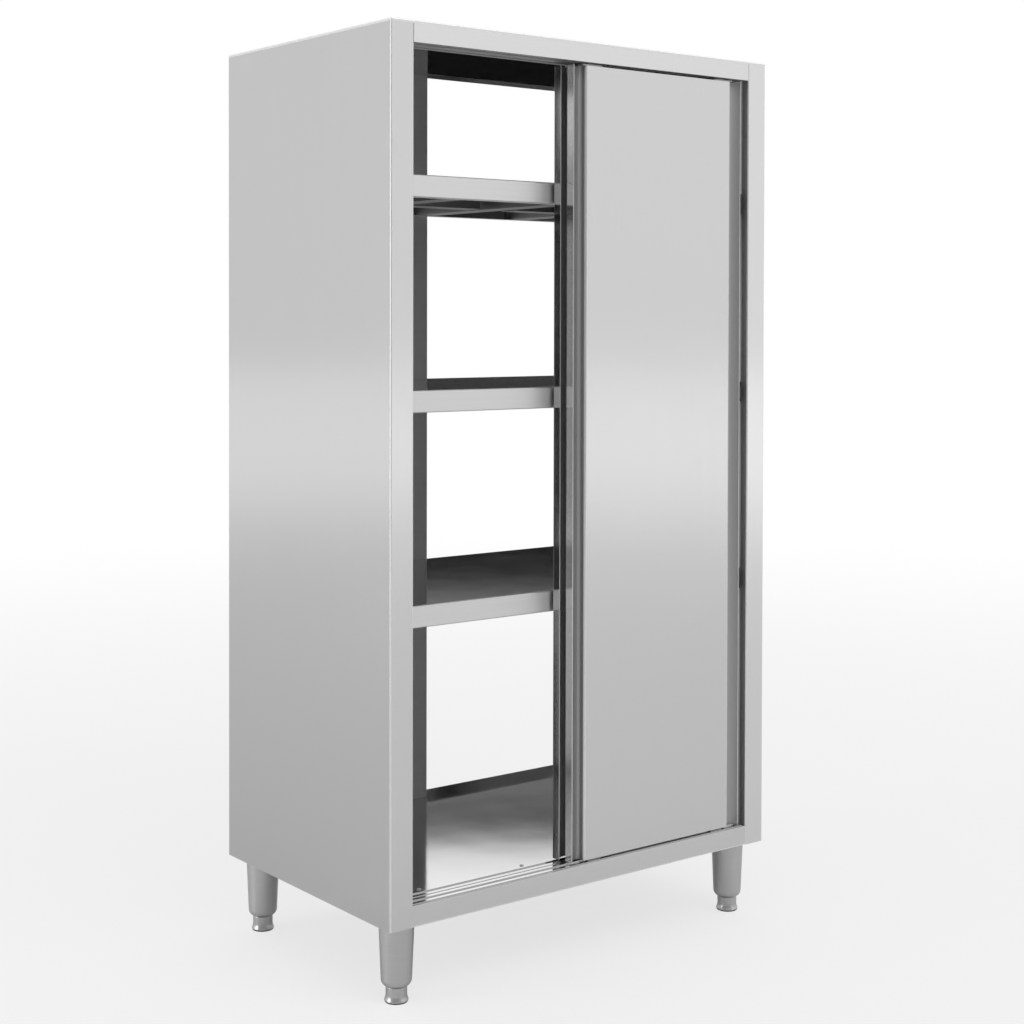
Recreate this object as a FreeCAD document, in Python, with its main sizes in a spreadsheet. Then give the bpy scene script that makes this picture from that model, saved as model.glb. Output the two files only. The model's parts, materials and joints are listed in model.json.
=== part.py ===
"""Sliding door cabinet in folded stainless steel sheet, as a parametric FreeCAD document.

Frame: millimetres, +Z up, front towards -Y, origin on the floor under the middle of the casing.
The casing is two side panels, a roof with its header, a floor with its front rail, a rear rail and
a rear centre post. Three shelves rest on brackets. Two doors hang from trolleys in a double track
behind the header and are guided by ribs on the floor. Four legs carry adjustable feet.
"""
import FreeCAD, Part
import math
import os
import re

import Sketcher

# The driving dimensions: name, number and what it is.
SIZES = [
    # casing
    ("wide", 950, "casing, side to side"),
    ("deep", 600, "casing, front to rear"),
    ("casing_tall", 1650, "casing without its legs"),
    ("leg_tall", 150, "floor to the underside of the casing"),
    ("gauge", 1.2, "sheet of casing and shelves"),
    ("bend", 2.5, "outer radius of every fold"),
    ("stile", 50, "front face of each side panel"),
    ("stile_return", 18, "fold behind each stile"),
    ("rear_return", 30, "fold of each side panel along the rear"),
    ("roof_rim", 6, "edge of the roof turned down over the side panels"),
    ("header_tall", 40, "face above the doors"),
    ("rail_tall", 40, "face below the doors, up to the floor of the cabinet"),
    ("rail_return", 20, "fold under the front and rear rails"),
    ("rear_rail_tall", 55, "rear rail, up from the underside of the casing"),
    ("post_wide", 45, "rear centre post"),
    # shelves
    ("shelf_first", 574, "underside of the casing to the top of the lowest shelf"),
    ("shelf_pitch", 402, "one shelf top to the next"),
    ("shelf_set_back", 68, "front of the casing to the front of a shelf"),
    ("shelf_rear_gap", 0.6, "rear of a shelf to the centre post"),
    ("shelf_side_gap", 1, "end of a shelf to the side panel"),
    ("lip_tall", 42, "face of a shelf"),
    ("lip_return", 20, "fold under a shelf's face"),
    ("rib_wide", 50, "stiffening channel under a shelf"),
    ("rib_spacing", 265, "one cross rib to the next"),
    ("rib_stop_short", 22, "long rib's end to the centre cross rib"),
    ("bracket_long", 40, "shelf bracket, front to rear"),
    ("bracket_leg", 20, "each leg of a shelf bracket"),
    ("bracket_gauge", 2, "thickness of a shelf bracket"),
    ("bracket_inset", 6, "front or rear face of a shelf to its bracket"),
    # doors
    ("door_wide", 455, "each door"),
    ("door_thick", 20, "front sheet to rear sheet"),
    ("door_gauge", 1, "sheet of the doors"),
    ("door_floor_gap", 4, "floor of the cabinet to a door"),
    ("door_header_gap", 5, "top of a door to the header's lower edge"),
    ("door_set_back", 10, "front of the casing to the outer door"),
    ("lane_pitch", 32, "front of the outer door to the front of the inner door"),
    ("end_gap", 2, "door to stile at the end of its travel"),
    ("outer_ajar", 10, "outer door at rest, short of its right stop"),
    ("inner_ajar", 16, "inner door at rest, short of its right stop"),
    ("grip_wide", 35, "grip channel along each upright edge of a door"),
    ("grip_deep", 8.5, "depth of the grip channel"),
    # tracks and trolleys
    ("track_front", 3, "front of the casing to the upper track"),
    ("track_deep", 66, "upper track, front to rear"),
    ("track_gauge", 2, "walls of the upper track"),
    ("slot_wide", 9, "slot under each lane"),
    ("wheel_radius", 11, "trolley wheel"),
    ("wheel_wide", 7, "trolley wheel's tread"),
    ("wheel_gap", 0.3, "wheel to the ledge that it rolls on"),
    ("axle_radius", 2.5, "trolley axle"),
    ("axle_head", 3.8, "radius of the axle's ends"),
    ("axle_head_thick", 1.2, "thickness of the axle's ends"),
    ("bush_radius", 4.5, "outside of the bush"),
    ("bush_long", 10, "bush, along the axle"),
    ("bush_gap", 0.5, "end of the bush to a wheel"),
    ("running_gap", 0.05, "radial clearance of a turning fit"),
    ("seat_gap", 0.02, "radial clearance of a fixed fit"),
    ("hanger_inset", 50, "edge of a door to the trolley's middle"),
    ("hanger_thick", 4, "upright plate of a hanger"),
    ("hanger_eye", 9, "radius of the hanger's top"),
    ("hanger_base_long", 50, "base of a hanger, along the door"),
    ("hanger_base_wide", 16, "base of a hanger, across the door"),
    ("hanger_base_thick", 3, "base of a hanger"),
    ("rivet_radius", 2, "rivet shanks"),
    ("rivet_head", 4, "radius of rivet heads"),
    ("rivet_head_thick", 1.2, "thickness of rivet heads"),
    ("rivet_spread", 34, "the two rivets of one hanger"),
    ("stop_gap", 0.3, "rubber stop to the wheel that reaches it"),
    ("stop_thick", 24, "rubber stop, across the lane"),
    ("stop_tall", 26, "rubber stop's height"),
    ("stud_radius", 2.5, "welded studs that hold the upper track"),
    ("stud_long", 8, "studs, down from the roof"),
    ("stud_play", 0.25, "stud's hole in the track, radial"),
    ("nut_radius", 4.6, "track nut, corner to middle"),
    ("nut_tall", 4, "track nut"),
    ("stud_inset", 60, "outermost stud to the end of the track"),
    ("low_track_front", 6, "front of the casing to the lower track"),
    ("low_track_deep", 67, "lower track, front to rear"),
    ("low_track_end_gap", 0.8, "end of the lower track to a stile"),
    ("rivet_inset", 5.5, "rear edge of the lower track to its rivets"),
    ("rib_thick", 2, "guide rib of the lower track"),
    ("guide_rib_tall", 2, "guide rib above the track's plate"),
    ("centre_rib_tall", 1, "stiffening rib between the lanes"),
    ("guide_long", 30, "nylon guide, along the door"),
    ("guide_wide", 12, "nylon guide, across the door"),
    ("guide_lift", 0.4, "nylon guide to the track's plate"),
    ("guide_play", 0.6, "nylon guide to each side of its rib"),
    ("guide_inset", 60, "edge of a door to the middle of its guide"),
    ("plug_long", 24, "guide's plug in the door, along the door"),
    ("plug_wide", 8, "guide's plug in the door, across the door"),
    ("plug_tall", 8, "guide's plug in the door"),
    # legs and feet
    ("leg_inset_side", 50, "side of the casing to a leg's axis"),
    ("leg_inset_end", 54, "front or rear of the casing to a leg's axis"),
    ("leg_top_radius", 33.5, "leg under the casing"),
    ("leg_low_radius", 29, "leg above its shoulder"),
    ("leg_neck_radius", 21, "leg at its lower end"),
    ("leg_wall", 1.5, "wall of a leg"),
    ("leg_cap", 3, "top of a leg"),
    ("shoulder_tall", 12.5, "rounded shoulder of a leg"),
    ("seam", 0.8, "foot to leg when the foot is screwed right in"),
    ("foot_tall", 29.7, "foot with its glide"),
    ("foot_neck_radius", 20.5, "foot under the leg"),
    ("foot_base_radius", 22.5, "foot above its glide"),
    ("foot_band_tall", 3, "straight band above the glide"),
    ("foot_flare_tall", 10, "flare from the band to the foot's neck"),
    ("glide_tall", 2.5, "plastic glide under a foot"),
    ("glide_radius", 21.5, "plastic glide"),
    ("glide_peg", 4, "radius of the glide's peg"),
    ("glide_peg_tall", 6, "glide's peg in the foot"),
    ("screw_radius", 8, "foot screw"),
    ("screw_long", 48, "foot screw, above the foot"),
    ("thread_gap", 0.08, "foot screw to its threaded ring"),
    ("ring_tall", 20, "threaded ring"),
    ("ring_inset", 2, "lower end of the leg to its threaded ring"),
    ("plate_long", 100, "leg plate, each way"),
    ("plate_thick", 3, "leg plate"),
    ("bolt_radius", 5, "leg bolt"),
    ("bolt_long", 22, "leg bolt's shank"),
    ("bolt_play", 0.5, "leg bolt's hole, radial"),
    ("bolt_head", 9.2, "leg bolt's head and nut, corner to middle"),
    ("bolt_head_tall", 6.4, "leg bolt's head and nut"),
]

doc = FreeCAD.newDocument("sliding_door_cabinet")
sheet = doc.addObject("Spreadsheet::Sheet", "Sizes")
names = [name for name, value, note in SIZES]
for row, (name, value, note) in enumerate(SIZES, start=1):
    sheet.set(f"A{row}", name)
    sheet.set(f"B{row}", str(value))
    sheet.set(f"C{row}", note)
    sheet.setAlias(f"B{row}", name)
doc.recompute()

# Places that several pieces share, as expressions of the sizes.
FRONT = "(-deep / 2)"
REAR = "(deep / 2)"
BASE = "leg_tall"
TOP = "(leg_tall + casing_tall)"
FLOOR = "(leg_tall + rail_tall)"
INSIDE = "(wide / 2 - gauge)"
BAY = "(wide / 2 - stile)"
SHELF_FRONT = f"({FRONT} + shelf_set_back)"
SHELF_REAR = f"({REAR} - 2 * gauge - shelf_rear_gap)"
SHELF_END = f"({INSIDE} - shelf_side_gap)"
DOOR_BASE = f"({FLOOR} + door_floor_gap)"
DOOR_TOP = f"({TOP} - header_tall - door_header_gap)"
DOOR_TALL = f"({DOOR_TOP} - {DOOR_BASE})"
TRACK_BASE = f"({TOP} - header_tall)"
TRACK_TOP = f"({TOP} - gauge)"
LEDGE = f"({TRACK_BASE} + track_gauge)"
AXLE = f"({LEDGE} + wheel_gap + wheel_radius)"
PLATE_BASE = "(leg_tall + gauge)"
LEG_END = "(foot_tall + seam)"
RIVET_LINE = f"({FRONT} + low_track_front + low_track_deep - rivet_inset)"
LANES = {
    "outer": f"({FRONT} + door_set_back + door_thick / 2)",
    "inner": f"({FRONT} + door_set_back + lane_pitch + door_thick / 2)",
}
HANDS = {"left": "-1", "right": "1"}
ENDS = {"front": "-1", "rear": "1"}


def bound(text):
    """The expression with every size name written as a cell of the sheet."""
    return re.sub(r"[a-z_]+", lambda word: f"Sizes.{word[0]}" if word[0] in names else word[0], text)


def number(text):
    """What the expression is worth now."""
    return float(sheet.evalExpression(bound(text)))


def place(item, x="0", y="0", z="0"):
    """Bind an object's place to three expressions."""
    for axis, text in zip("xyz", (x, y, z)):
        item.setExpression(f"Placement.Base.{axis}", bound(text))
    return item


# ------------------------------------------------------------------ sketches and bodies
def strip(path, gauge, side):
    """Outline of a folded sheet of one gauge: an outer path of square turns and its inner side.

    side is 1 where the thickness lies left of the path's direction, and -1 where it lies right.
    Returns the outline's corners, and the places of the outer and the inner edges of the folds.
    """
    spots = [(number(u), number(v)) for u, v in path]
    normals = []
    for (u0, v0), (u1, v1) in zip(spots, spots[1:]):
        reach = math.hypot(u1 - u0, v1 - v0)
        normals.append((round(-side * (v1 - v0) / reach), round(side * (u1 - u0) / reach)))
    inner = []
    for i, (u, v) in enumerate(path):
        before = normals[max(i - 1, 0)]
        after = normals[min(i, len(normals) - 1)]
        turn = [before] if before == after else [before, after]
        shift_u = sum(normal[0] for normal in turn)
        shift_v = sum(normal[1] for normal in turn)
        inner.append((f"{u} + {shift_u} * {gauge}", f"{v} + {shift_v} * {gauge}"))
    return path + inner[::-1], path[1:-1], inner[1:-1]


def sketch(body, plane, corners, offset="0"):
    """Closed outline on one of the body's own origin planes, each corner bound to the sheet.

    A corner is (u, v), or (u, v, radius, bulge) where an arc leads to the next corner: bulge is 1
    for an arc that swells to the left of the way to that corner, and -1 for one to the right.
    """
    outline = body.newObject("Sketcher::SketchObject", "Outline")
    own_plane = [part for part in body.Origin.OriginFeatures if part.Role == plane][0]
    outline.AttachmentSupport = [(own_plane, "")]
    outline.MapMode = "FlatFace"
    outline.setExpression("AttachmentOffset.Base.z", bound(offset))
    spots = [FreeCAD.Vector(number(corner[0]), number(corner[1]), 0) for corner in corners]
    pieces = []
    first_last = []
    for i, corner in enumerate(corners):
        here, there = spots[i], spots[(i + 1) % len(spots)]
        if len(corner) == 2:
            pieces.append(Part.LineSegment(here, there))
            first_last.append((1, 2))
            continue
        radius, bulge = number(corner[2]), corner[3]
        chord = there - here
        swell = radius - math.sqrt(radius ** 2 - (chord.Length / 2) ** 2)
        left = FreeCAD.Vector(-chord.y, chord.x, 0).normalize()
        pieces.append(Part.Arc(here, (here + there) / 2 + left * (bulge * swell), there))
        first_last.append((2, 1) if bulge > 0 else (1, 2))
    outline.addGeometry(pieces, False)
    rules = []
    texts = []
    for i, corner in enumerate(corners):
        after = (i + 1) % len(corners)
        rules.append(Sketcher.Constraint("Coincident", i, first_last[i][1], after, first_last[after][0]))
        texts.append(None)
        rules.append(Sketcher.Constraint("DistanceX", -1, 1, i, first_last[i][0], spots[i].x))
        texts.append(corner[0])
        rules.append(Sketcher.Constraint("DistanceY", -1, 1, i, first_last[i][0], spots[i].y))
        texts.append(corner[1])
        if len(corner) > 2:
            rules.append(Sketcher.Constraint("Radius", i, number(corner[2])))
            texts.append(corner[2])
    outline.addConstraint(rules)
    for i, text in enumerate(texts):
        if text is not None:
            outline.setExpression(f"Constraints[{i}]", bound(text))
    return outline


def new_body(label):
    body = doc.addObject("PartDesign::Body", label)
    body.Label = label
    return body


def pad(body, plane, corners, start, length):
    """Prism on an origin plane. It grows along +X, +Y or +Z from start, in the plane's normal."""
    backward = plane == "XZ_Plane"
    outline = sketch(body, plane, corners, f"-({start})" if backward else start)
    prism = body.newObject("PartDesign::Pad", "Prism")
    prism.Profile = outline
    prism.Reversed = backward
    prism.setExpression("Length", bound(length))
    doc.recompute()
    return prism


def pocket(body, plane, corners, start, length):
    """Cut that runs along +X, +Y or +Z from start, checked to take material away."""
    before = body.Shape.Volume
    backward = plane == "XZ_Plane"
    outline = sketch(body, plane, corners, f"-({start})" if backward else start)
    cut = body.newObject("PartDesign::Pocket", "Cut")
    cut.Profile = outline
    cut.Reversed = not backward
    cut.setExpression("Length", bound(length))
    doc.recompute()
    if body.Shape.Volume >= before:
        raise RuntimeError(f"{body.Label}: a pocket cuts nothing")
    return cut


def round_folds(body, places, radius, run):
    """Round the straight edges that run along one axis (0, 1 or 2) through the given places."""
    across = [axis for axis in range(3) if axis != run]
    spots = [(number(u), number(v)) for u, v in places]
    tip = body.Tip
    chosen = []
    for i, edge in enumerate(tip.Shape.Edges):
        start, end = edge.Vertexes[0].Point, edge.Vertexes[-1].Point
        along = abs(end[run] - start[run]) > 0.999 * edge.Length
        if along and any(abs(start[across[0]] - u) + abs(start[across[1]] - v) < 0.01 for u, v in spots):
            chosen.append(f"Edge{i + 1}")
    fillet = body.newObject("PartDesign::Fillet", "Folds")
    fillet.Base = (tip, chosen)
    fillet.setExpression("Radius", bound(radius))
    doc.recompute()


def rectangle(u0, u1, v0, v1):
    return [(u0, v0), (u1, v0), (u1, v1), (u0, v1)]


def turned(label, plane, profile):
    """Solid turned about the sketch's vertical axis: Z on the XZ plane, Y on the XY plane."""
    body = new_body(label)
    outline = sketch(body, plane, profile)
    turn = body.newObject("PartDesign::Revolution", "Turn")
    turn.Profile = outline
    turn.ReferenceAxis = (outline, ["V_Axis"])
    turn.Angle = 360
    doc.recompute()
    return body


# ------------------------------------------------------------------ plain solids
def box(label, x0, x1, y0, y1, z0, z1):
    block = doc.addObject("Part::Box", label)
    block.setExpression("Length", bound(f"({x1}) - ({x0})"))
    block.setExpression("Width", bound(f"({y1}) - ({y0})"))
    block.setExpression("Height", bound(f"({z1}) - ({z0})"))
    return place(block, x0, y0, z0)


def rod(label, radius, length, x, y, z, along="Z"):
    """Cylinder from (x, y, z) along +Z, or along +Y."""
    cylinder = doc.addObject("Part::Cylinder", label)
    cylinder.setExpression("Radius", bound(radius))
    cylinder.setExpression("Height", bound(length))
    if along == "Y":
        cylinder.Placement.Rotation = FreeCAD.Rotation(FreeCAD.Vector(1, 0, 0), -90)
    return place(cylinder, x, y, z)


def hexagon(label, corner_radius, height, x, y, z):
    prism = doc.addObject("Part::Prism", label)
    prism.Polygon = 6
    prism.setExpression("Circumradius", bound(corner_radius))
    prism.setExpression("Height", bound(height))
    return place(prism, x, y, z)


def cut_away(label, solid, tools):
    """The solid less its tools."""
    result = doc.addObject("Part::Cut", label)
    result.Base = solid
    result.Tool = tools[0] if len(tools) == 1 else compound(f"{label}_tools", tools)
    result.Label = label
    return result


def joined(label, solids):
    result = doc.addObject("Part::MultiFuse", label)
    result.Shapes = solids
    result.Refine = True
    result.Label = label
    return result


def compound(label, solids):
    """Several separate solids as one object."""
    result = doc.addObject("Part::Compound", label)
    result.Links = solids
    result.Label = label
    return result


nodes = []


def node(item):
    """Count the object as one of the cabinet's pieces."""
    nodes.append(item)
    return item


# ------------------------------------------------------------------ casing
def side_panel(name, hand):
    """Sheet folded along its four upright edges: return, stile, side, rear return."""
    body = new_body(f"{name}_side_panel")
    path = [
        (f"{hand} * {BAY}", f"{FRONT} + stile_return"),
        (f"{hand} * {BAY}", FRONT),
        (f"{hand} * wide / 2", FRONT),
        (f"{hand} * wide / 2", REAR),
        (f"{hand} * (wide / 2 - rear_return)", REAR),
    ]
    corners, outer, inner = strip(path, "gauge", -1 if hand == "-1" else 1)
    pad(body, "XY_Plane", corners, BASE, "casing_tall - roof_rim")
    round_folds(body, outer, "bend", 2)
    round_folds(body, inner, "bend - gauge", 2)
    node(body)


def roof_panel():
    """Tray turned over the side panels, with the header folded down between the stiles."""
    body = new_body("roof_panel")
    pad(body, "XY_Plane", rectangle("-wide / 2", "wide / 2", FRONT, REAR), f"{TOP} - roof_rim", "roof_rim")
    hollow = rectangle(f"-{INSIDE}", INSIDE, f"{FRONT} + gauge", f"{REAR} - gauge")
    pocket(body, "XY_Plane", hollow, f"{TOP} - roof_rim", "roof_rim - gauge")
    header = rectangle(f"-{BAY}", BAY, FRONT, f"{FRONT} + gauge")
    pad(body, "XY_Plane", header, f"{TOP} - header_tall", "header_tall - roof_rim")
    node(body)


def floor_panel():
    """Floor of the cabinet, folded down to the front rail between the stiles."""
    body = new_body("floor_sheet")
    path = [
        (f"{FRONT} + rail_return", BASE),
        (FRONT, BASE),
        (FRONT, FLOOR),
        (f"{REAR} - gauge", FLOOR),
    ]
    corners, outer, inner = strip(path, "gauge", -1)
    pad(body, "YZ_Plane", corners, f"-{BAY}", f"2 * {BAY}")
    round_folds(body, outer, "bend", 0)
    round_folds(body, inner, "bend - gauge", 0)
    plate = rectangle(f"-{INSIDE}", INSIDE, f"{FRONT} + stile_return", f"{REAR} - bend")
    pad(body, "XY_Plane", plate, f"{FLOOR} - gauge", "gauge")
    holes = rivet_holes(f"{FLOOR} - gauge")
    node(cut_away("floor_panel", body, holes))


def rear_frame():
    """Rear rail between the side panels' rear returns, and the post that stands in front of it."""
    rail = new_body("rear_bottom_rail")
    path = [
        (f"{REAR} - rail_return", BASE),
        (REAR, BASE),
        (REAR, f"{BASE} + rear_rail_tall"),
    ]
    corners, outer, inner = strip(path, "gauge", 1)
    reach = "(wide / 2 - rear_return)"
    pad(rail, "YZ_Plane", corners, f"-{reach}", f"2 * {reach}")
    round_folds(rail, outer, "bend", 0)
    round_folds(rail, inner, "bend - gauge", 0)
    node(rail)
    plane = f"{REAR} - gauge"
    node(box("rear_centre_post", "-post_wide / 2", "post_wide / 2", f"{plane} - gauge", plane,
             FLOOR, f"{TOP} - gauge"))


# ------------------------------------------------------------------ shelves
def shelf(name, level):
    """Tray folded down at the front and rear, with its stiffening channels. level is its top."""
    body = new_body(f"{name}_shelf")
    path = [
        (f"{SHELF_FRONT} + lip_return", "-lip_tall"),
        (SHELF_FRONT, "-lip_tall"),
        (SHELF_FRONT, "0"),
        (SHELF_REAR, "0"),
        (SHELF_REAR, "-lip_tall"),
        (f"{SHELF_REAR} - lip_return", "-lip_tall"),
    ]
    corners, outer, inner = strip(path, "gauge", -1)
    pad(body, "YZ_Plane", corners, f"-{SHELF_END}", f"2 * {SHELF_END}")
    round_folds(body, outer, "bend", 0)
    round_folds(body, inner, "bend - gauge", 0)
    node(place(body, z=level))

    low, high = f"{level} - lip_tall + gauge", f"{level} - gauge"
    front, rear = f"{SHELF_FRONT} + bend", f"{SHELF_REAR} - bend"
    cross = []
    for count, middle in enumerate(("-rib_spacing", "0", "rib_spacing")):
        left, right = f"{middle} - rib_wide / 2", f"{middle} + rib_wide / 2"
        block = box("rib", left, right, front, rear, low, high)
        core = box("core", f"{left} + gauge", f"{right} - gauge", front, rear, f"{low} + gauge", high)
        cross.append(cut_away(f"{name}_cross_rib_{count + 1}", block, [core]))
    node(compound(f"{name}_shelf_cross_ribs", cross))

    middle = f"({SHELF_FRONT} + {SHELF_REAR}) / 2"
    front, rear = f"{middle} - rib_wide / 2", f"{middle} + rib_wide / 2"
    long_ribs = []
    for side, hand in HANDS.items():
        reach = ("(rib_wide / 2 + rib_stop_short)", "(rib_spacing - rib_wide / 2)")
        left, right = (f"-{reach[1]}", f"-{reach[0]}") if hand == "-1" else reach
        block = box("rib", left, right, front, rear, low, high)
        core = box("core", left, right, f"{front} + gauge", f"{rear} - gauge", f"{low} + gauge", high)
        long_ribs.append(cut_away(f"{name}_long_rib_{side}", block, [core]))
    node(compound(f"{name}_shelf_long_ribs", long_ribs))


def shelf_brackets(levels):
    """Angle brackets on the side panels, two at each end of every shelf, under its folded edges."""
    brackets = []
    for name, level in levels.items():
        for side, hand in HANDS.items():
            for end in ENDS:
                seat = f"{level} - lip_tall"
                if end == "front":
                    start = f"{SHELF_FRONT} + bracket_inset"
                else:
                    start = f"{SHELF_REAR} - bracket_inset - bracket_long"
                wall, tip = INSIDE, f"({INSIDE} - bracket_leg)"
                core_wall = f"({INSIDE} - bracket_gauge)"
                ends = (f"-{wall}", f"-{tip}") if hand == "-1" else (tip, wall)
                core_ends = (f"-{core_wall}", f"-{tip}") if hand == "-1" else (tip, core_wall)
                block = box("angle", *ends, start, f"{start} + bracket_long", f"{seat} - bracket_leg", seat)
                core = box("core", *core_ends, start, f"{start} + bracket_long",
                           f"{seat} - bracket_leg", f"{seat} - bracket_gauge")
                brackets.append(cut_away(f"bracket_{name}_{side}_{end}", block, [core]))
    node(compound("shelf_brackets", brackets))


# ------------------------------------------------------------------ tracks
def stud_places():
    """Middles of the studs along the track: four, evenly spread between the outermost two."""
    reach = f"({BAY} - stud_inset)"
    return [f"{share} * {reach}" for share in ("-1", "-1 / 3", "1 / 3", "1")]


def upper_track():
    """Double box track open along a slot under each lane, hung from studs under the roof."""
    body = new_body("upper_track_profile")
    front, rear = f"({FRONT} + track_front)", f"({FRONT} + track_front + track_deep)"
    pad(body, "YZ_Plane", rectangle(front, rear, TRACK_BASE, TRACK_TOP), f"-{BAY}", f"2 * {BAY}")
    web = f"({LANES['outer']} + {LANES['inner']}) / 2"
    lane_walls = {
        "outer": (f"{front} + track_gauge", f"{web} - track_gauge / 2"),
        "inner": (f"{web} + track_gauge / 2", f"{rear} - track_gauge"),
    }
    holes, studs, nuts = [], [], []
    for lane, middle in LANES.items():
        near, far = lane_walls[lane]
        hollow = [
            (f"{middle} - slot_wide / 2", TRACK_BASE),
            (f"{middle} + slot_wide / 2", TRACK_BASE),
            (f"{middle} + slot_wide / 2", LEDGE),
            (far, LEDGE),
            (far, f"{TRACK_TOP} - track_gauge"),
            (near, f"{TRACK_TOP} - track_gauge"),
            (near, LEDGE),
            (f"{middle} - slot_wide / 2", LEDGE),
        ]
        pocket(body, "YZ_Plane", hollow, f"-{BAY}", f"2 * {BAY}")
        for x in stud_places():
            holes.append(rod("hole", "stud_radius + stud_play", "track_gauge", x, middle,
                             f"{TRACK_TOP} - track_gauge"))
            studs.append(rod("stud", "stud_radius", "stud_long", x, middle, f"{TRACK_TOP} - stud_long"))
            seat = f"{TRACK_TOP} - track_gauge - nut_tall"
            block = hexagon("nut", "nut_radius", "nut_tall", x, middle, seat)
            bore = rod("bore", "stud_radius + seat_gap", "nut_tall", x, middle, seat)
            nuts.append(cut_away("track_nut", block, [bore]))
    node(cut_away("upper_track", body, holes))
    node(compound("track_studs", studs))
    node(compound("track_nuts", nuts))


def track_end_stops():
    """Rubber blocks at both ends of both lanes. A wheel meets one just as its door meets a stile."""
    long = "(end_gap + hanger_inset - wheel_radius - stop_gap)"
    stops = []
    for lane, middle in LANES.items():
        for side, hand in HANDS.items():
            ends = (f"-{BAY}", f"-{BAY} + {long}") if hand == "-1" else (f"{BAY} - {long}", BAY)
            stops.append(box(f"stop_{lane}_{side}", *ends, f"{middle} - stop_thick / 2",
                             f"{middle} + stop_thick / 2", LEDGE, f"{LEDGE} + stop_tall"))
    node(compound("track_end_stops", stops))


def lower_track():
    """Plate on the floor with a guide rib under each lane, a low rib between them, and rivets."""
    body = new_body("lower_track_profile")
    front = f"({FRONT} + low_track_front)"
    reach = f"({BAY} - low_track_end_gap)"
    pad(body, "YZ_Plane", rectangle(front, f"{front} + low_track_deep", FLOOR, f"{FLOOR} + gauge"),
        f"-{reach}", f"2 * {reach}")
    centre = f"({LANES['outer']} + {LANES['inner']}) / 2"
    ribs = {LANES["outer"]: "guide_rib_tall", LANES["inner"]: "guide_rib_tall", centre: "centre_rib_tall"}
    for middle, tall in ribs.items():
        rib = rectangle(f"{middle} - rib_thick / 2", f"{middle} + rib_thick / 2",
                        f"{FLOOR} + gauge", f"{FLOOR} + gauge + {tall}")
        pad(body, "YZ_Plane", rib, f"-{reach}", f"2 * {reach}")
    rivets = []
    for x in stud_places():
        rivet = turned("rivet", "XZ_Plane", rivet_profile("gauge", "2 * gauge"))
        rivets.append(place(rivet, x, RIVET_LINE, FLOOR))
    node(cut_away("lower_track", body, rivet_holes(FLOOR)))
    node(compound("lower_track_rivets", rivets))


def rivet_holes(low):
    """Tools for the holes of the lower track's rivets through one sheet, up from low."""
    return [rod("hole", "rivet_radius + seat_gap", "gauge", x, RIVET_LINE, low) for x in stud_places()]


def rivet_profile(over, grip):
    """Half section of a rivet that grips a stack: over is the stack's top above the rivet's zero."""
    top, low = f"({over})", f"({over} - ({grip}))"
    return [
        ("0", f"{low} - rivet_head_thick"),
        ("rivet_head", f"{low} - rivet_head_thick"),
        ("rivet_head", low),
        ("rivet_radius", low),
        ("rivet_radius", top),
        ("rivet_head", top),
        ("rivet_head", f"{top} + rivet_head_thick"),
        ("0", f"{top} + rivet_head_thick"),
    ]


# ------------------------------------------------------------------ doors
def door_place(item, lane):
    """Put a piece that is drawn about the door's lower front middle on its lane, at rest."""
    x = f"{BAY} - end_gap - {lane}_ajar - door_wide / 2"
    return place(item, x, f"{LANES[lane]} - door_thick / 2", DOOR_BASE)


def door_skin(lane):
    """Front tray of a door: a grip channel along each upright edge, folded back all round."""
    radius = "((grip_wide ^ 2 / 4 + grip_deep ^ 2) / (2 * grip_deep))"
    drop = f"({radius} - grip_deep)"
    half = "door_wide / 2"
    back = "door_thick - door_gauge"
    body = new_body(f"{lane}_door_skin_tray")
    outside = [
        (f"-{half}", back),
        (f"-{half}", "0", radius, 1),
        (f"-{half} + grip_wide", "0"),
        (f"{half} - grip_wide", "0", radius, 1),
        (half, "0"),
        (half, back),
    ]
    pad(body, "XY_Plane", outside, "0", DOOR_TALL)
    inner_radius = f"({radius} + door_gauge)"
    edge_depth = f"(sqrt({inner_radius} ^ 2 - (grip_wide / 2 - door_gauge) ^ 2) - {drop})"
    fold = f"(grip_wide / 2 + sqrt({inner_radius} ^ 2 - ({drop} + door_gauge) ^ 2))"
    inside = [
        (f"-{half} + door_gauge", back),
        (f"-{half} + door_gauge", edge_depth, inner_radius, 1),
        (f"-{half} + {fold}", "door_gauge"),
        (f"{half} - {fold}", "door_gauge", inner_radius, 1),
        (f"{half} - door_gauge", edge_depth),
        (f"{half} - door_gauge", back),
    ]
    pocket(body, "XY_Plane", inside, "door_gauge", f"{DOOR_TALL} - 2 * door_gauge")
    tools = []
    for hand in HANDS.values():
        guide = f"{hand} * ({half} - guide_inset)"
        tools.append(box("plug_hole", f"{guide} - plug_long / 2", f"{guide} + plug_long / 2",
                         "(door_thick - plug_wide) / 2", "(door_thick + plug_wide) / 2", "0", "door_gauge"))
        hanger = f"{hand} * ({half} - hanger_inset)"
        for spread in HANDS.values():
            tools.append(rod("rivet_hole", "rivet_radius + seat_gap", "door_gauge",
                             f"{hanger} + {spread} * rivet_spread / 2", "door_thick / 2",
                             f"{DOOR_TALL} - door_gauge"))
    node(door_place(cut_away(f"{lane}_door_skin", body, tools), lane))
    liner = box(f"{lane}_liner_sheet", f"-{half}", half, back, "door_thick", "0", DOOR_TALL)
    node(door_place(compound(f"{lane}_door_liner", [liner]), lane))


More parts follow.
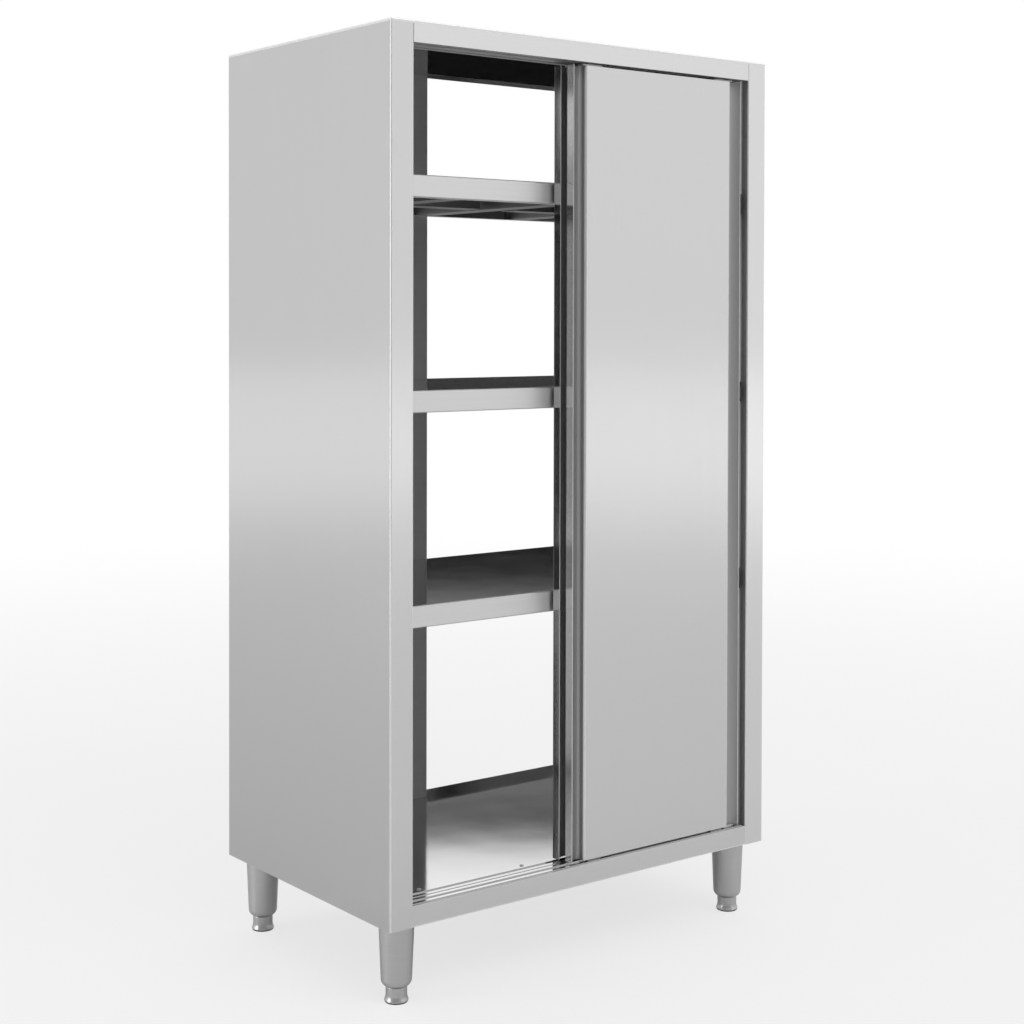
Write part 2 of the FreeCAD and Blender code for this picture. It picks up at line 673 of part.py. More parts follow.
def door_hangers(lane):
    """Hangers riveted on the top of a door: base, upright plate with an eye, and the eye's bush."""
    hangers, rivets, bushes = [], [], []
    seat = DOOR_TALL
    axle = f"({AXLE} - {DOOR_BASE})"
    middle = "door_thick / 2"
    rivet_outline = sunk_rivet_profile("rivet_radius", "rivet_head")
    sink_outline = sunk_rivet_profile("rivet_radius + seat_gap", "rivet_head + seat_gap")
    for side, hand in HANDS.items():
        x = f"{hand} * (door_wide / 2 - hanger_inset)"
        base = box("base", f"{x} - hanger_base_long / 2", f"{x} + hanger_base_long / 2",
                   f"{middle} - hanger_base_wide / 2", f"{middle} + hanger_base_wide / 2",
                   seat, f"{seat} + hanger_base_thick")
        near = f"{middle} - hanger_thick / 2"
        upright = box("upright", f"{x} - hanger_eye", f"{x} + hanger_eye", near,
                      f"{middle} + hanger_thick / 2", seat, axle)
        eye = rod("eye", "hanger_eye", "hanger_thick", x, near, axle, "Y")
        tools = [rod("bore", "bush_radius + seat_gap", "hanger_thick", x, near, axle, "Y")]
        for spread in HANDS.values():
            spot = f"{x} + {spread} * rivet_spread / 2"
            rivets.append(place(turned("hanger_rivet", "XZ_Plane", rivet_outline), spot, middle, seat))
            tools.append(place(turned("sink", "XZ_Plane", sink_outline), spot, middle, seat))
        hangers.append(cut_away(f"{lane}_hanger_{side}", joined("hanger", [base, upright, eye]), tools))
        start = f"{middle} - bush_long / 2"
        sleeve = rod("sleeve", "bush_radius", "bush_long", x, start, axle, "Y")
        bore = rod("bore", "axle_radius + running_gap", "bush_long", x, start, axle, "Y")
        bushes.append(cut_away(f"{lane}_bush_{side}", sleeve, [bore]))
    node(door_place(compound(f"{lane}_door_hangers", hangers), lane))
    node(door_place(compound(f"{lane}_door_hanger_rivets", rivets), lane))
    node(door_place(compound(f"{lane}_door_hanger_bushes", bushes), lane))


def sunk_rivet_profile(shank, head):
    """Half section of a countersunk rivet through the hanger's base and the door's top."""
    return [
        ("0", "-door_gauge - rivet_head_thick"),
        (head, "-door_gauge - rivet_head_thick"),
        (head, "-door_gauge"),
        (shank, "-door_gauge"),
        (shank, "hanger_base_thick - (rivet_head - rivet_radius)"),
        (head, "hanger_base_thick"),
        ("0", "hanger_base_thick"),
    ]


def door_guides(lane):
    """Nylon guides under a door, each astride the guide rib and plugged into the door's underside."""
    guides = []
    middle = "door_thick / 2"
    low = "(gauge + guide_lift - door_floor_gap)"
    for side, hand in HANDS.items():
        x = f"{hand} * (door_wide / 2 - guide_inset)"
        shoe = box("shoe", f"{x} - guide_long / 2", f"{x} + guide_long / 2", f"{middle} - guide_wide / 2",
                   f"{middle} + guide_wide / 2", low, "0")
        plug = box("plug", f"{x} - plug_long / 2", f"{x} + plug_long / 2", f"{middle} - plug_wide / 2",
                   f"{middle} + plug_wide / 2", "0", "plug_tall")
        half_groove = "(rib_thick / 2 + guide_play)"
        groove = box("groove", f"{x} - guide_long / 2", f"{x} + guide_long / 2",
                     f"{middle} - {half_groove}", f"{middle} + {half_groove}", low, "0")
        guides.append(cut_away(f"{lane}_guide_{side}", joined("guide", [shoe, plug]), [groove]))
    node(door_place(compound(f"{lane}_door_guides", guides), lane))


def wheelset(lane, side, hand):
    """Axle through a hanger's bush with a wheel pressed on each end. It is drawn about its axle."""
    near = "(bush_long / 2 + bush_gap)"
    far = f"({near} + wheel_wide)"
    wheels = []
    for way in HANDS.values():
        corners = [
            ("axle_radius + seat_gap", f"{way} * {near}"),
            ("wheel_radius", f"{way} * {near}"),
            ("wheel_radius", f"{way} * {far}"),
            ("axle_radius + seat_gap", f"{way} * {far}"),
        ]
        wheels.append(turned("wheel", "XY_Plane", corners))
    axle = turned(f"{lane}_{side}_axle", "XY_Plane", [
        ("0", f"-{far} - axle_head_thick"),
        ("axle_head", f"-{far} - axle_head_thick"),
        ("axle_head", f"-{far}"),
        ("axle_radius", f"-{far}"),
        ("axle_radius", far),
        ("axle_head", far),
        ("axle_head", f"{far} + axle_head_thick"),
        ("0", f"{far} + axle_head_thick"),
    ])
    x = f"{BAY} - end_gap - {lane}_ajar - door_wide / 2 + {hand} * (door_wide / 2 - hanger_inset)"
    for item in (compound(f"{lane}_{side}_wheels", wheels), axle):
        node(place(item, x, LANES[lane], AXLE))


# ------------------------------------------------------------------ legs and feet
def leg_places():
    """Each leg's name and axis."""
    spots = {}
    for end, way in ENDS.items():
        for side, hand in HANDS.items():
            x = f"{hand} * (wide / 2 - leg_inset_side)"
            y = f"{way} * (deep / 2 - leg_inset_end)"
            spots[f"{end}_{side}"] = (x, y)
    return spots


def leg_mountings():
    """Plates in the casing's corners, with the bolts and nuts that hold the legs."""
    plates, bolts, nuts, rings = [], [], [], []
    for name, (x, y) in leg_places().items():
        end, side = name.split("_")
        hand, way = HANDS[side], ENDS[end]
        side_wall = "(wide / 2 - bend)"
        end_wall = f"({REAR} - bend)"
        inner_x, inner_y = f"({side_wall} - plate_long)", f"({end_wall} - plate_long)"
        spans_x = (f"-{side_wall}", f"-{inner_x}") if hand == "-1" else (inner_x, side_wall)
        spans_y = (f"-{end_wall}", f"-{inner_y}") if way == "-1" else (inner_y, end_wall)
        block = box("plate", *spans_x, *spans_y, PLATE_BASE, f"{PLATE_BASE} + plate_thick")
        hole = rod("hole", "bolt_radius + bolt_play", "plate_thick", x, y, PLATE_BASE)
        tools = [hole]
        if way == "-1":
            corner = f"({BAY} - gauge)"
            notch = (f"-{side_wall}", f"-{corner}") if hand == "-1" else (corner, side_wall)
            tools.append(box("stile_notch", *notch, f"-{end_wall}", f"{FRONT} + stile_return",
                             PLATE_BASE, f"{PLATE_BASE} + plate_thick"))
        plates.append(cut_away(f"leg_plate_{name}", block, tools))
        head_seat = f"{PLATE_BASE} + plate_thick"
        head = hexagon("head", "bolt_head", "bolt_head_tall", x, y, head_seat)
        shank = rod("shank", "bolt_radius", "bolt_long", x, y, f"{head_seat} - bolt_long")
        bolts.append(joined(f"leg_bolt_{name}", [head, shank]))
        nut_seat = f"{PLATE_BASE} - leg_cap - bolt_head_tall"
        block = hexagon("nut", "bolt_head", "bolt_head_tall", x, y, nut_seat)
        bore = rod("bore", "bolt_radius + seat_gap", "bolt_head_tall", x, y, nut_seat)
        nuts.append(cut_away(f"leg_nut_{name}", block, [bore]))
        ring_seat = f"{LEG_END} + ring_inset"
        sleeve = rod("sleeve", "leg_neck_radius - leg_wall - seat_gap", "ring_tall", x, y, ring_seat)
        bore = rod("bore", "screw_radius + thread_gap", "ring_tall", x, y, ring_seat)
        rings.append(cut_away(f"threaded_ring_{name}", sleeve, [bore]))
    for label, group in (("leg_plates", plates), ("leg_bolts", bolts), ("leg_nuts", nuts),
                         ("leg_threaded_rings", rings)):
        node(compound(label, group))


def leg(name, x, y):
    """Hollow tapered leg with a rounded shoulder, closed at the top but for its bolt hole."""
    shoulder = f"({LEG_END} + shoulder_tall)"
    bolt_hole = "bolt_radius + bolt_play"
    swell = "(leg_low_radius - leg_neck_radius)"
    arc = f"(({swell} ^ 2 + shoulder_tall ^ 2) / (2 * {swell}))"
    profile = [
        ("leg_neck_radius - leg_wall", LEG_END),
        ("leg_neck_radius", LEG_END, arc, -1),
        ("leg_low_radius", shoulder),
        ("leg_top_radius", PLATE_BASE),
        (bolt_hole, PLATE_BASE),
        (bolt_hole, f"{PLATE_BASE} - leg_cap"),
        ("leg_top_radius - leg_wall", f"{PLATE_BASE} - leg_cap"),
        ("leg_low_radius - leg_wall", f"{LEG_END} + ring_inset + ring_tall + leg_wall"),
        ("leg_neck_radius - leg_wall", f"{LEG_END} + ring_inset + ring_tall"),
    ]
    node(place(turned(f"leg_{name}", "XZ_Plane", profile), x, y))


def foot(name, x, y):
    """Adjustable foot with its screw, and the plastic glide under it."""
    profile = [
        ("0", "glide_tall + glide_peg_tall"),
        ("glide_peg + seat_gap", "glide_tall + glide_peg_tall"),
        ("glide_peg + seat_gap", "glide_tall"),
        ("foot_base_radius", "glide_tall"),
        ("foot_base_radius", "glide_tall + foot_band_tall"),
        ("foot_neck_radius", "glide_tall + foot_band_tall + foot_flare_tall"),
        ("foot_neck_radius", "foot_tall"),
        ("screw_radius", "foot_tall"),
        ("screw_radius", "foot_tall + screw_long"),
        ("0", "foot_tall + screw_long"),
    ]
    node(place(turned(f"foot_{name}", "XZ_Plane", profile), x, y))
    profile = [
        ("0", "0"),
        ("glide_radius", "0"),
        ("glide_radius", "glide_tall"),
        ("glide_peg", "glide_tall"),
        ("glide_peg", "glide_tall + glide_peg_tall"),
        ("0", "glide_tall + glide_peg_tall"),
    ]
    node(place(turned(f"glide_{name}", "XZ_Plane", profile), x, y))


# ------------------------------------------------------------------ the cabinet
for side_name, side_hand in HANDS.items():
    side_panel(side_name, side_hand)
roof_panel()
floor_panel()
rear_frame()

shelf_levels = {
    name: f"({BASE} + shelf_first + {count} * shelf_pitch)"
    for count, name in enumerate(("lower", "middle", "upper"))
}
for shelf_name, shelf_level in shelf_levels.items():
    shelf(shelf_name, shelf_level)
shelf_brackets(shelf_levels)

upper_track()
track_end_stops()
lower_track()

for lane_name in LANES:
    door_skin(lane_name)
    door_hangers(lane_name)
    door_guides(lane_name)
    for side_name, side_hand in HANDS.items():
        wheelset(lane_name, side_name, side_hand)

leg_mountings()
for leg_name, (leg_x, leg_y) in leg_places().items():
    leg(leg_name, leg_x, leg_y)
    foot(leg_name, leg_x, leg_y)

doc.recompute()

# ------------------------------------------------------------------ checks and files
for item in doc.Objects:
    if "Invalid" in item.State or "Error" in item.State:
        raise RuntimeError(f"{item.Label}: {item.State}")
for item in nodes:
    if item.Shape.isNull() or not item.Shape.isValid() or not item.Shape.Solids:
        raise RuntimeError(f"{item.Label} has no sound shape")

os.makedirs("parts", exist_ok=True)
for item in nodes:
    item.Shape.exportStep(f"parts/{item.Label}.step")
print(len(nodes), "nodes,", sum(len(item.Shape.Solids) for item in nodes), "solids")
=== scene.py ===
"""Sliding door cabinet: brushed stainless sheet, laid out as a Blender add-on and run as a script.

Frame: metres, +Z up, front towards -Y, origin on the floor under the middle of the casing.
"""
import json
import math

import bpy
import numpy as np
from mathutils import Matrix, Vector


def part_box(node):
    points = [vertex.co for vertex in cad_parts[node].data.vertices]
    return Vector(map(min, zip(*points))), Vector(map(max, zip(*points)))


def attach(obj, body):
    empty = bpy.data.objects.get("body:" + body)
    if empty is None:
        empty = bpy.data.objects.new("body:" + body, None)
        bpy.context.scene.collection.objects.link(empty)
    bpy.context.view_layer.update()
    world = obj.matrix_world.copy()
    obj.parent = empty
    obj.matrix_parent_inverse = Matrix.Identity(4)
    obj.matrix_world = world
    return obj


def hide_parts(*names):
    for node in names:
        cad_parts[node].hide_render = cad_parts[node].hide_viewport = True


bl_info = {
    "name": "Sliding Door Cabinet",
    "version": (1, 0, 0),
    "blender": (4, 5, 0),
    "location": "3D View > Sidebar > Cabinet",
    "description": "Builds the visible sheets, doors, legs and studio of a stainless cabinet",
    "category": "Object",
}

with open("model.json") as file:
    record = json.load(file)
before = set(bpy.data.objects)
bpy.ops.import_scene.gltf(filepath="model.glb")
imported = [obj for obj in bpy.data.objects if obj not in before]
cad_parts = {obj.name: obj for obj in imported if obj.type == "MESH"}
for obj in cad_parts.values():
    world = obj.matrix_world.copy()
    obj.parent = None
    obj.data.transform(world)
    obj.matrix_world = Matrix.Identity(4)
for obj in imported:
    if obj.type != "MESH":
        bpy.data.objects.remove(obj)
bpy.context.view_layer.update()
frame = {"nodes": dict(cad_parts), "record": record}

# Faces and points of one rounded corner, faces once round a leg, and rows of a foot screw's thread;
# points of the studio floor's rim, and of each edge of a screen.
ARC_STEPS = 6
CORNER = ARC_STEPS + 1
ROUND_STEPS = 72
THREAD_ROWS = 288
FLOOR_STEPS = 96
SCREEN_STEPS = 40
UP = 2
ACROSS = 0
# A bend of this radius or less, in metres, counts as fully bent.
SHARP_BEND = 0.004
# Stands in for the square of a step of no length.
NO_STEP = 1e-12
# The camera: place in metres; yaw from +Y towards +X, pitch and roll in degrees; lens and sensor in
# millimetres; shift in sensor widths.
CAMERA_PLACE = (-2.26395, -2.97223, 1.26189)
CAMERA_TURN = (37.6812, -0.9697, 0.1197)
CAMERA_LENS = 62.86
CAMERA_SENSOR = 36
CAMERA_SHIFT = -0.1602


# ------------------------------------------------------------------ sizes and colours
def length(name, default, description):
    return bpy.props.FloatProperty(name=name, description=description, default=default,
                                   unit="LENGTH", precision=5)


def colour(name, default, description):
    return bpy.props.StringProperty(name=name, description=description, default=default)


class CabinetSheet(bpy.types.PropertyGroup):
    gauge: length("Sheet", 0.0012, "Thickness of the casing and shelves")
    fold: length("Fold", 0.0025, "Outer radius of every fold")
    cut: length("Cut edge", 0.0002, "Radius that deburring leaves on a cut edge")
    stile: length("Stile", 0.05, "Front face of each side panel")
    stile_return: length("Stile return", 0.018, "Fold behind each stile")
    rear_return: length("Rear return", 0.03, "Fold of each side panel along the rear")
    rim: length("Roof rim", 0.006, "Edge of the roof turned down over the side panels")
    rail_return: length("Rail return", 0.02, "Fold under the front and rear rails")
    lip_return: length("Lip return", 0.02, "Fold under a shelf's face")


class CabinetDoor(bpy.types.PropertyGroup):
    grip_wide: length("Grip width", 0.035, "Grip channel along each upright edge of a door")
    grip_deep: length("Grip depth", 0.016, "Depth of the grip channel")
    grip_floor: length("Grip floor", 0.025, "Deepest line of the grip, from the door's edge")
    nose: length("Grip nose", 0.0009, "Radius of the door's outermost upright edge")
    lip: length("Grip lip", 0.004, "Radius where the steep wall turns into the flat face")


class CabinetLeg(bpy.types.PropertyGroup):
    wall: length("Leg wall", 0.0015, "Wall of a leg")
    shoulder: length("Shoulder", 0.0125, "Height of a leg's rounded shoulder")
    low_radius: length("Low radius", 0.029, "Leg above its shoulder")
    neck_radius: length("Neck radius", 0.021, "Leg at its lower end")
    flare: length("Foot flare", 0.0025, "How far a foot's base stands out from its neck")
    base_tall: length("Foot base", 0.0018, "Height of a foot's straight base")
    flare_tall: length("Flare height", 0.0085, "Height at which a foot's flare ends")
    screw_radius: length("Screw radius", 0.008, "Foot screw, outside of its thread")
    thread_pitch: length("Thread pitch", 0.002, "Foot screw, one turn of its thread")
    thread_deep: length("Thread depth", 0.0007, "Foot screw, depth of its thread")
    thread_from: length("Thread start", 0.0065, "Underside of a foot to the start of its thread")
    seam: length("Seam", 0.0008, "Foot to leg when the foot is screwed right in")
    flare_round: length("Flare round", 0.02, "Radius where a foot's flare meets its neck")
    glide_tall: length("Glide height", 0.0025, "Plastic glide under a foot")
    glide_hole: length("Glide hole", 0.001, "Radius of the pinhole in a glide's middle")


class CabinetColours(bpy.types.PropertyGroup):
    brushed: colour("Brushed steel", "#E5E5E5", "Outside of the sheets")
    # Lighter copy of the brushed steel for the roof, header and right stile: painted light.
    bright: colour("Bright brushed steel", "#EFEFEF", "Header and right stile")
    # Darker copy of the brushed steel for the outer side faces of the side panels: painted shade.
    side: colour("Brushed side", "#D4D4D4", "Outer side faces of the side panels")
    mill: colour("Mill finish steel", "#D4D4D4", "Inside of the sheets")
    satin: colour("Satin steel", "#D3D3D3", "Turned legs and feet")
    # Real on the tracks and hangers; on the grips, the stile returns and the right panel's inside
    # it is darker than their sheet: painted shade.
    strip: colour("Steel strip", "#BDBDBD", "Tracks, hangers, grips and returns")
    # Darker copy of the rolled strip for the channels under the shelves: painted shade.
    rib: colour("Rib steel", "#8E8E8E", "Channels under the shelves")
    # Lighter copy of the rolled strip for the shelf faces and the rear post: painted light.
    lip: colour("Lip steel", "#F0F0F0", "Faces of the shelves, rear post")
    plated: colour("Plated steel", "#CACACA", "Screws, nuts and rivets")
    brass: colour("Brass", "#D6B676", "Bushes")
    nylon: colour("Nylon", "#E6E4DC", "Wheels and guides")
    rubber: colour("Rubber", "#1B1B1C", "End stops")
    glide: colour("Glide plastic", "#2E2F31", "Glides under the feet")
    floor: colour("Floor", "#DADADA", "Studio floor near the cabinet")
    black: colour("Black screen", "#0C0C0C", "Cloth behind the cabinet, seen in its gloss")
    band: colour("Band", "#4A4A4A", "Cloth of the dark grey stripes behind the cabinet")
    grey: colour("Grey screen", "#A0A0A0", "Cloth on the camera's side and of one stripe behind")


class CabinetStage(bpy.types.PropertyGroup):
    fill: bpy.props.FloatProperty(name="Fill", default=0.8, min=0,
                                  description="Strength of the light from all round")
    wall: bpy.props.FloatProperty(name="Wall", default=0.82, min=0,
                                  description="Brightness of the wall seen in the gloss")
    floor_radius: length("Floor", 40.0, "Radius of the studio floor")
    screen_near: length("Screens", 7.0, "Distance of the screens from the cabinet")
    black_tall: length("Black height", 1.84, "Height of the black screen behind the cabinet")
    band_tall: length("Band height", 2.31, "Top of the stripes above the black screen")
    front_tall: length("Front height", 4.0, "Height of the grey screen on the camera's side")


GROUPS = {
    "cabinet_sheet": CabinetSheet,
    "cabinet_door": CabinetDoor,
    "cabinet_leg": CabinetLeg,
    "cabinet_colours": CabinetColours,
    "cabinet_stage": CabinetStage,
}


# ------------------------------------------------------------------ surfaces
def rounded_ring(corners, radii):
    """Closed section with an arc at every corner, and the outward normal of each of its points.

    An arc's centre is the corner moved by the radius times the sum of both sides' normals, divided
    by one plus their dot product: inwards at an outside corner and outwards at an inside one. The
    arc's points turn from one side's normal to the other's. Returns points, normals and the corner
    that each point came from.
    """
    spots = np.asarray(corners, float)
    radii = np.broadcast_to(np.asarray(radii, float), len(spots))
    ahead = np.roll(spots, -1, axis=0) - spots
    ahead /= np.linalg.norm(ahead, axis=1)[:, None]
    beyond = np.roll(spots, -1, axis=0)
    area = np.sum(spots[:, 0] * beyond[:, 1] - beyond[:, 0] * spots[:, 1])
    after = np.sign(area) * np.stack([ahead[:, 1], -ahead[:, 0]], axis=1)
    before = np.roll(after, 1, axis=0)
    cross = before[:, 0] * after[:, 1] - before[:, 1] * after[:, 0]
    dot = np.sum(before * after, axis=1)
    outside = np.sign(cross * np.sign(area))
    reach = (outside * radii / (1 + dot))[:, None]
    centre = spots - reach * (before + after)
    turn = np.arctan2(cross, dot)[:, None] * np.linspace(0, 1, CORNER)[None, :]
    aside = np.stack([-before[:, 1], before[:, 0]], axis=1)
    normals = (np.cos(turn)[..., None] * before[:, None]
               + np.sin(turn)[..., None] * aside[:, None])
    points = centre[:, None] + (outside * radii)[:, None, None] * normals
    source = np.repeat(np.arange(len(spots)), CORNER)
    return points.reshape(-1, 2), normals.reshape(-1, 2), source


def folded_ring(path, side, gauge, fold, cut):
    """Section of a folded sheet: the outer path, then the same path one gauge in, run backwards.

    side is 1 where the thickness lies left of the path. Each inner corner is the outer one moved by
    the gauge along the inward normals of the sides that meet there. The last array is the corner
    that each point came from, and those past the path's own are the inner face.
    """
    path = np.asarray(path, float)
    ahead = np.diff(path, axis=0)
    ahead /= np.linalg.norm(ahead, axis=1)[:, None]
    inward = side * np.stack([-ahead[:, 1], ahead[:, 0]], axis=1)
    shift = np.concatenate([inward[:1], inward[:-1] + inward[1:], inward[-1:]])
    corners = np.concatenate([path, (path + gauge * shift)[::-1]])
    folds = np.broadcast_to(np.asarray(fold, float), len(path) - 2)
    inner_folds = np.maximum(folds - gauge, cut)[::-1]
    radii = np.concatenate([[cut], folds, [cut, cut], inner_folds, [cut]])
    return rounded_ring(corners, radii)


def run_along(section, axis, stations):
    """Grid of a section carried along one axis: section's two numbers fill the other two axes.

    A section is the same at every station, or an array with one section for each of them.
    """
    points, normals = section[0], section[1]
    stations = np.asarray(stations, float)
    if points.ndim == 2:
        points = np.repeat(points[None], len(stations), axis=0)
        normals = np.repeat(normals[None], len(stations), axis=0)
    others = [number for number in range(3) if number != axis]
    spots = np.zeros(points.shape[:2] + (3,))
    facing = np.zeros_like(spots)
    spots[..., others] = points
    spots[..., axis] = stations[:, None]
    facing[..., others] = normals
    return spots, facing


def turned(section, centre):
    """Grid of a section (radius, height) turned about an upright axis: x and y are the radius times
    the cosine and sine of an angle that goes once round."""
    points, normals = section[0], section[1]
    angle = np.linspace(0, 2 * np.pi, ROUND_STEPS, endpoint=False)[None, :]
    across, along = np.cos(angle), np.sin(angle)
    shape = (len(points), ROUND_STEPS)
    spots = np.stack([centre[0] + points[:, :1] * across, centre[1] + points[:, :1] * along,
                      np.broadcast_to(points[:, 1:], shape)], axis=-1)
    facing = np.stack([normals[:, :1] * across, normals[:, :1] * along,
                       np.broadcast_to(normals[:, 1:], shape)], axis=-1)
    return spots, facing


def newell(points):
    """Normal of a flat outline: the sum of the cross products of neighbouring corners."""
    normal = np.sum(np.cross(points, np.roll(points, -1, axis=0)), axis=0)
    return normal / np.linalg.norm(normal)


def bend(points, normals, beside, normals_beside):
    """How sharply the surface bends outwards towards its neighbour: the change of the normal along
    the step, over the step's length squared, which is one over the bend's radius. 1 stands for
    SHARP_BEND or less."""
    step = beside - points
    size = np.maximum(np.sum(step * step, axis=-1), NO_STEP)
    return np.clip(SHARP_BEND * np.sum((normals_beside - normals) * step, axis=-1) / size, 0, 1)


def grid_mesh(name, grids):
    """One mesh out of grids whose columns wrap round.

    A grid is (points, normals, joined, finish): joined closes the last row to the first, otherwise
    flat faces close both end rows, and finish is the number of the piece's finish, for the whole
    grid or for each of its rows or columns. Each face has its own corner normals, how sharply it
    bends, and a map that counts metres: across the grid, then along it.
    """
    spots, faces, facing, marks, maps, bends = [], [], [], [], [], []
    base = 0
    for points, normals, joined, finish in grids:
        rows, columns = points.shape[:2]
        finish = np.broadcast_to(finish, (rows, columns)).astype(int)
        steps = np.linalg.norm(np.roll(points, -1, axis=1) - points, axis=2).mean(axis=0)
        across = np.concatenate([[0], np.cumsum(steps)])
        ring = np.concatenate([points, points[:1]])
        strides = np.linalg.norm(np.diff(ring, axis=0), axis=2).mean(axis=1)
        along = np.concatenate([[0], np.cumsum(strides)])
        last = rows if joined else rows - 1
        i, j = (part.ravel() for part in np.indices((last, columns)))
        row = np.stack([i, i + 1, i + 1, i], axis=1)
        column = np.stack([j, j, j + 1, j + 1], axis=1)
        quads = (row % rows) * columns + column % columns
        flat = points.reshape(-1, 3)
        corner_normals = normals.reshape(-1, 3)[quads]
        quad_maps = np.stack([across[column], along[row]], axis=-1)
        side = flat[quads]
        geometric = np.cross(side[:, 2] - side[:, 0], side[:, 3] - side[:, 1])
        if np.sum(geometric * corner_normals.mean(axis=1)) < 0:
            quads, corner_normals = quads[:, ::-1], corner_normals[:, ::-1]
            quad_maps = quad_maps[:, ::-1]
        spots.append(flat)
        faces += (quads + base).tolist()
        facing.append(corner_normals.reshape(-1, 3))
        maps.append(quad_maps.reshape(-1, 2))
        marks.append(finish[i, j])
        over, beside = (i + 1) % rows, (j + 1) % columns
        here = points[i, j], normals[i, j]
        bends.append(np.maximum(bend(*here, points[i, beside], normals[i, beside]),
                                bend(*here, points[over, j], normals[over, j])))
        if not joined:
            for end, inner in ((0, 1), (rows - 1, rows - 2)):
                outline = np.arange(columns) + end * columns
                normal = newell(flat[outline])
                outward = points[end].mean(axis=0) - points[inner].mean(axis=0)
                if normal @ outward < 0:
                    outline, normal = outline[::-1], -normal
                faces.append((outline + base).tolist())
                facing.append(np.repeat(normal[None], columns, axis=0))
                flattest = int(np.argmax(np.abs(normal)))
                maps.append(flat[outline][:, [axis for axis in (2, 1, 0) if axis != flattest]])
                marks.append(finish[end, :1])
                bends.append(np.zeros(1))
        base += len(flat)
    mesh = bpy.data.meshes.new(name)
    mesh.from_pydata(np.concatenate(spots).tolist(), [], faces)
    mesh.polygons.foreach_set("material_index", np.concatenate(marks))
    mesh.polygons.foreach_set("use_smooth", np.ones(len(faces), bool))
    mesh.attributes.new("bend", "FLOAT", "FACE").data.foreach_set("value", np.concatenate(bends))
    mesh.uv_layers.new(name="grain").uv.foreach_set("vector", np.concatenate(maps).ravel())
    mesh.update()
    mesh.normals_split_custom_set(np.concatenate(facing).tolist())
    return mesh


def grid(surface, joined=False, finish=0):
    """A surface with how its rows end and the numbers of its finishes."""
    return surface[0], surface[1], joined, finish


def shown(name, mesh, finishes):
    """Object of a mesh with its finishes, linked to the scene."""
    for finish in finishes:
        mesh.materials.append(material(finish))
    item = bpy.data.objects.new(name, mesh)
    bpy.context.scene.collection.objects.link(item)
    return item


def piece(name, grids, body, finishes, stands_for=()):
    """Add a piece that rides on a body and hide the nodes it stands for."""
    item = shown(name, grid_mesh(name, grids), finishes)
    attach(item, body)
    if stands_for:
        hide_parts(*stands_for)


def rectangle(u0, u1, v0, v1):
    return [(u0, v0), (u1, v0), (u1, v1), (u0, v1)]


# ------------------------------------------------------------------ finishes
def linear(code):
    """Linear colour of an sRGB hex value."""
    parts = [int(code[place:place + 2], 16) / 255 for place in (1, 3, 5)]
    return [v / 12.92 if v <= 0.04045 else ((v + 0.055) / 1.055) ** 2.4 for v in parts] + [1.0]


def add(tree, kind, settings=(), values=(), links=()):
    """Add a node with its settings, the values of its sockets and the links into them."""
    item = tree.nodes.new(kind)
    for name, value in dict(settings).items():
        setattr(item, name, value)
    for socket, value in dict(values).items():
        item.inputs[socket].default_value = value
    for socket, source in dict(links).items():
        tree.links.new(source, item.inputs[socket])
    return item


def noise(tree, place, **values):
    return add(tree, "ShaderNodeTexNoise", values=values, links={"Vector": place}).outputs[0]


def scaled(tree, place, scale):
    """A place with its own scale on each axis."""
    return add(tree, "ShaderNodeMapping", values={"Scale": scale},
               links={"Vector": place}).outputs[0]


def bumped(tree, height, strength, distance, under=()):
    """Normal that a pattern bumps, over the normal under it if there is one."""
    return add(tree, "ShaderNodeBump", values={"Strength": strength, "Distance": distance},
               links={"Height": height, **dict(under)}).outputs[0]


def spread(tree, source, low, high):
    """A 0 to 1 pattern stretched to the range from low to high."""
    return add(tree, "ShaderNodeMapRange", values={"To Min": low, "To Max": high},
               links={"Value": source}).outputs[0]


def tinted(tree, source, code, darker):
    """Colour that wanders between a little darker than the written one and the written one."""
    full = linear(code)
    low = [part * darker for part in full[:3]] + [1.0]
    return add(tree, "ShaderNodeMix", settings={"data_type": "RGBA"}, values={6: low, 7: full},
               links={0: source}).outputs[2]


def larger(tree, one, other):
    return add(tree, "ShaderNodeMath", settings={"operation": "MAXIMUM"},
               links={0: one, 1: other}).outputs[0]


def shaded(tree, values, links):
    """Principled shader into the material's output."""
    shader = add(tree, "ShaderNodeBsdfPrincipled", values=values, links=links)
    add(tree, "ShaderNodeOutputMaterial", links={"Surface": shader.outputs[0]})


def patterned(tree, values, pattern, tint, rough, links=()):
    """Shader whose colour and roughness follow one pattern: tint is the colour and how much darker
    it gets, and rough the range of roughness."""
    shaded(tree, values, {"Base Color": tinted(tree, pattern, *tint),
                          "Roughness": spread(tree, pattern, *rough), **dict(links)})


